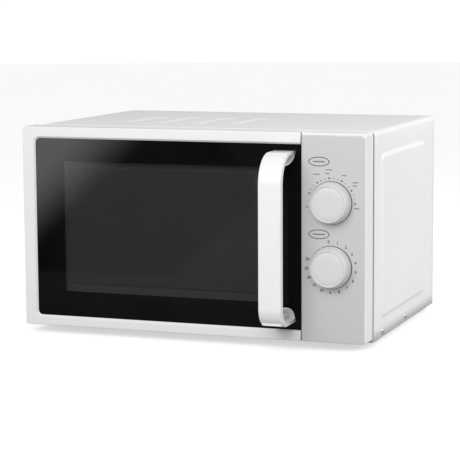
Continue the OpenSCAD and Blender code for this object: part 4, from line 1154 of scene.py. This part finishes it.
FLOOR_RADIUS = 9.0
DOME_RADIUS = 12.0
CARD_SIZE = 0.22
CARD_FADE = 0.22
CARD_STRENGTH = 14.5
WORLD_STRENGTH = 0.56


def add_area(name, place, aim, power, size, size_y):
    data = bpy.data.lights.new(name, "AREA")
    data.shape = "RECTANGLE"
    data.size = size
    data.size_y = size_y
    data.energy = power
    light = new_object(name, data)
    direction = Vector(aim) - Vector(place)
    light.matrix_world = Matrix.Translation(place) @ direction.to_track_quat("-Z", "Y").to_matrix().to_4x4()
    light.visible_camera = False


def make_disc(name, z):
    bm = bmesh.new()
    bmesh.ops.create_circle(bm, cap_ends=True, radius=FLOOR_RADIUS, segments=96)
    disc = new_object(name, mesh_from(bm, name, False))
    disc.location.z = z
    return disc


def limit_rays(obj, shown):
    """Lets only the named kinds of ray see a piece of the stage."""
    for ray in ("camera", "diffuse", "glossy", "transmission", "volume_scatter", "shadow"):
        setattr(obj, f"visible_{ray}", ray in shown)


def make_floor():
    """Pale floor for the camera, and a duller one that sends less light up at the oven."""
    floor = make_disc("floor", 0.0)
    finish = Finish("floor", (0.60, 0.60, 0.60), 0.85, specular=0.1)
    finish.set("Emission Color", (1.0, 1.0, 1.0, 1.0))
    finish.set("Emission Strength", 0.60)
    finish.mottle(2.0, 0.004)
    floor.data.materials.append(finish.material)
    limit_rays(floor, ("camera",))
    bounce = make_disc("floor_bounce", -0.0005)
    dull = Finish("floor_bounce", (0.46, 0.46, 0.46), 0.9, specular=0.05)
    bounce.data.materials.append(dull.mottle(2.0, 0.01).material)
    limit_rays(bounce, ("diffuse", "glossy", "transmission", "shadow"))


def emission_material(name, strength):
    material = bpy.data.materials.new(name)
    material.use_nodes = True
    tree = material.node_tree
    tree.nodes.remove(tree.nodes["Principled BSDF"])
    emission = new_node(tree, "Emission", Strength=strength)
    tree.links.new(emission.outputs[0], tree.nodes["Material Output"].inputs["Surface"])
    return material, emission


def make_backdrop():
    """White dome that only the camera sees."""
    bm = bmesh.new()
    bmesh.ops.create_uvsphere(bm, u_segments=48, v_segments=24, radius=DOME_RADIUS)
    dome = new_object("backdrop", mesh_from(bm, "backdrop"))
    dome.data.materials.append(emission_material("backdrop", 1.05)[0])
    limit_rays(dome, ("camera",))


def card_material():
    """Light that fades along the card's own X axis, which points up to the left."""
    material, emission = emission_material("reflection_card", 1.0)
    tree = material.node_tree
    place = new_node(tree, "TexCoord")
    axes = new_node(tree, "SeparateXYZ")
    edge = new_node(tree, "MapRange", From_Min=-CARD_FADE, From_Max=CARD_FADE, To_Max=CARD_STRENGTH)
    edge.interpolation_type = "SMOOTHSTEP"
    tree.links.new(place.outputs["Object"], axes.inputs["Vector"])
    tree.links.new(axes.outputs["X"], edge.inputs["Value"])
    tree.links.new(edge.outputs["Result"], emission.inputs["Strength"])
    return material


def make_reflection_card():
    """Soft light low at the left that shows in the upper left corner of the door's glass."""
    bm = bmesh.new()
    bmesh.ops.create_grid(bm, x_segments=1, y_segments=1, size=1.0)
    card = new_object("reflection_card", mesh_from(bm, "reflection_card", False))
    place = Matrix.Translation((-0.376, FRONT_Y - 0.457, 0.146))
    card.matrix_world = place @ turn(90.0, "X") @ turn(132.0, "Z") @ Matrix.Scale(CARD_SIZE, 4)
    card.data.materials.append(card_material())
    limit_rays(card, ("glossy",))
    glass_only = bpy.data.collections.new("glass_only")
    for name in ("door_glass_border", "door_glass_band", "door_glass_window"):
        glass_only.objects.link(bpy.data.objects[name])
    card.light_linking.receiver_collection = glass_only


def make_world():
    world = bpy.data.worlds.new("surroundings")
    bpy.context.scene.world = world
    world.use_nodes = True
    background = world.node_tree.nodes["Background"]
    background.inputs["Color"].default_value = (1.0, 1.0, 1.0, 1.0)
    background.inputs["Strength"].default_value = WORLD_STRENGTH


def make_stage():
    make_floor()
    make_backdrop()
    make_reflection_card()
    make_world()
    add_area("side_light", (1.22, 0.40, 0.68), (0.22, 0.02, 0.12), 10.4, 0.8, 0.8)
    add_area("front_light", (0.05, -1.30, 0.82), (0.0, -0.14, 0.13), 13.6, 1.2, 0.7)
    bpy.context.scene.view_settings.view_transform = "Standard"


# ---- build ----

dress_nodes()
cabinet_shell()
door_glass()
door_screen()
door_frame()
handle_strap()
handle_cheeks()
handle_bosses()
control_housing()
housing_lugs()
control_fascia()
dial_wells()
dial("power_dial", "power_control")
dial("timer_dial", "timer_control")
fascia_print()
make_stage()
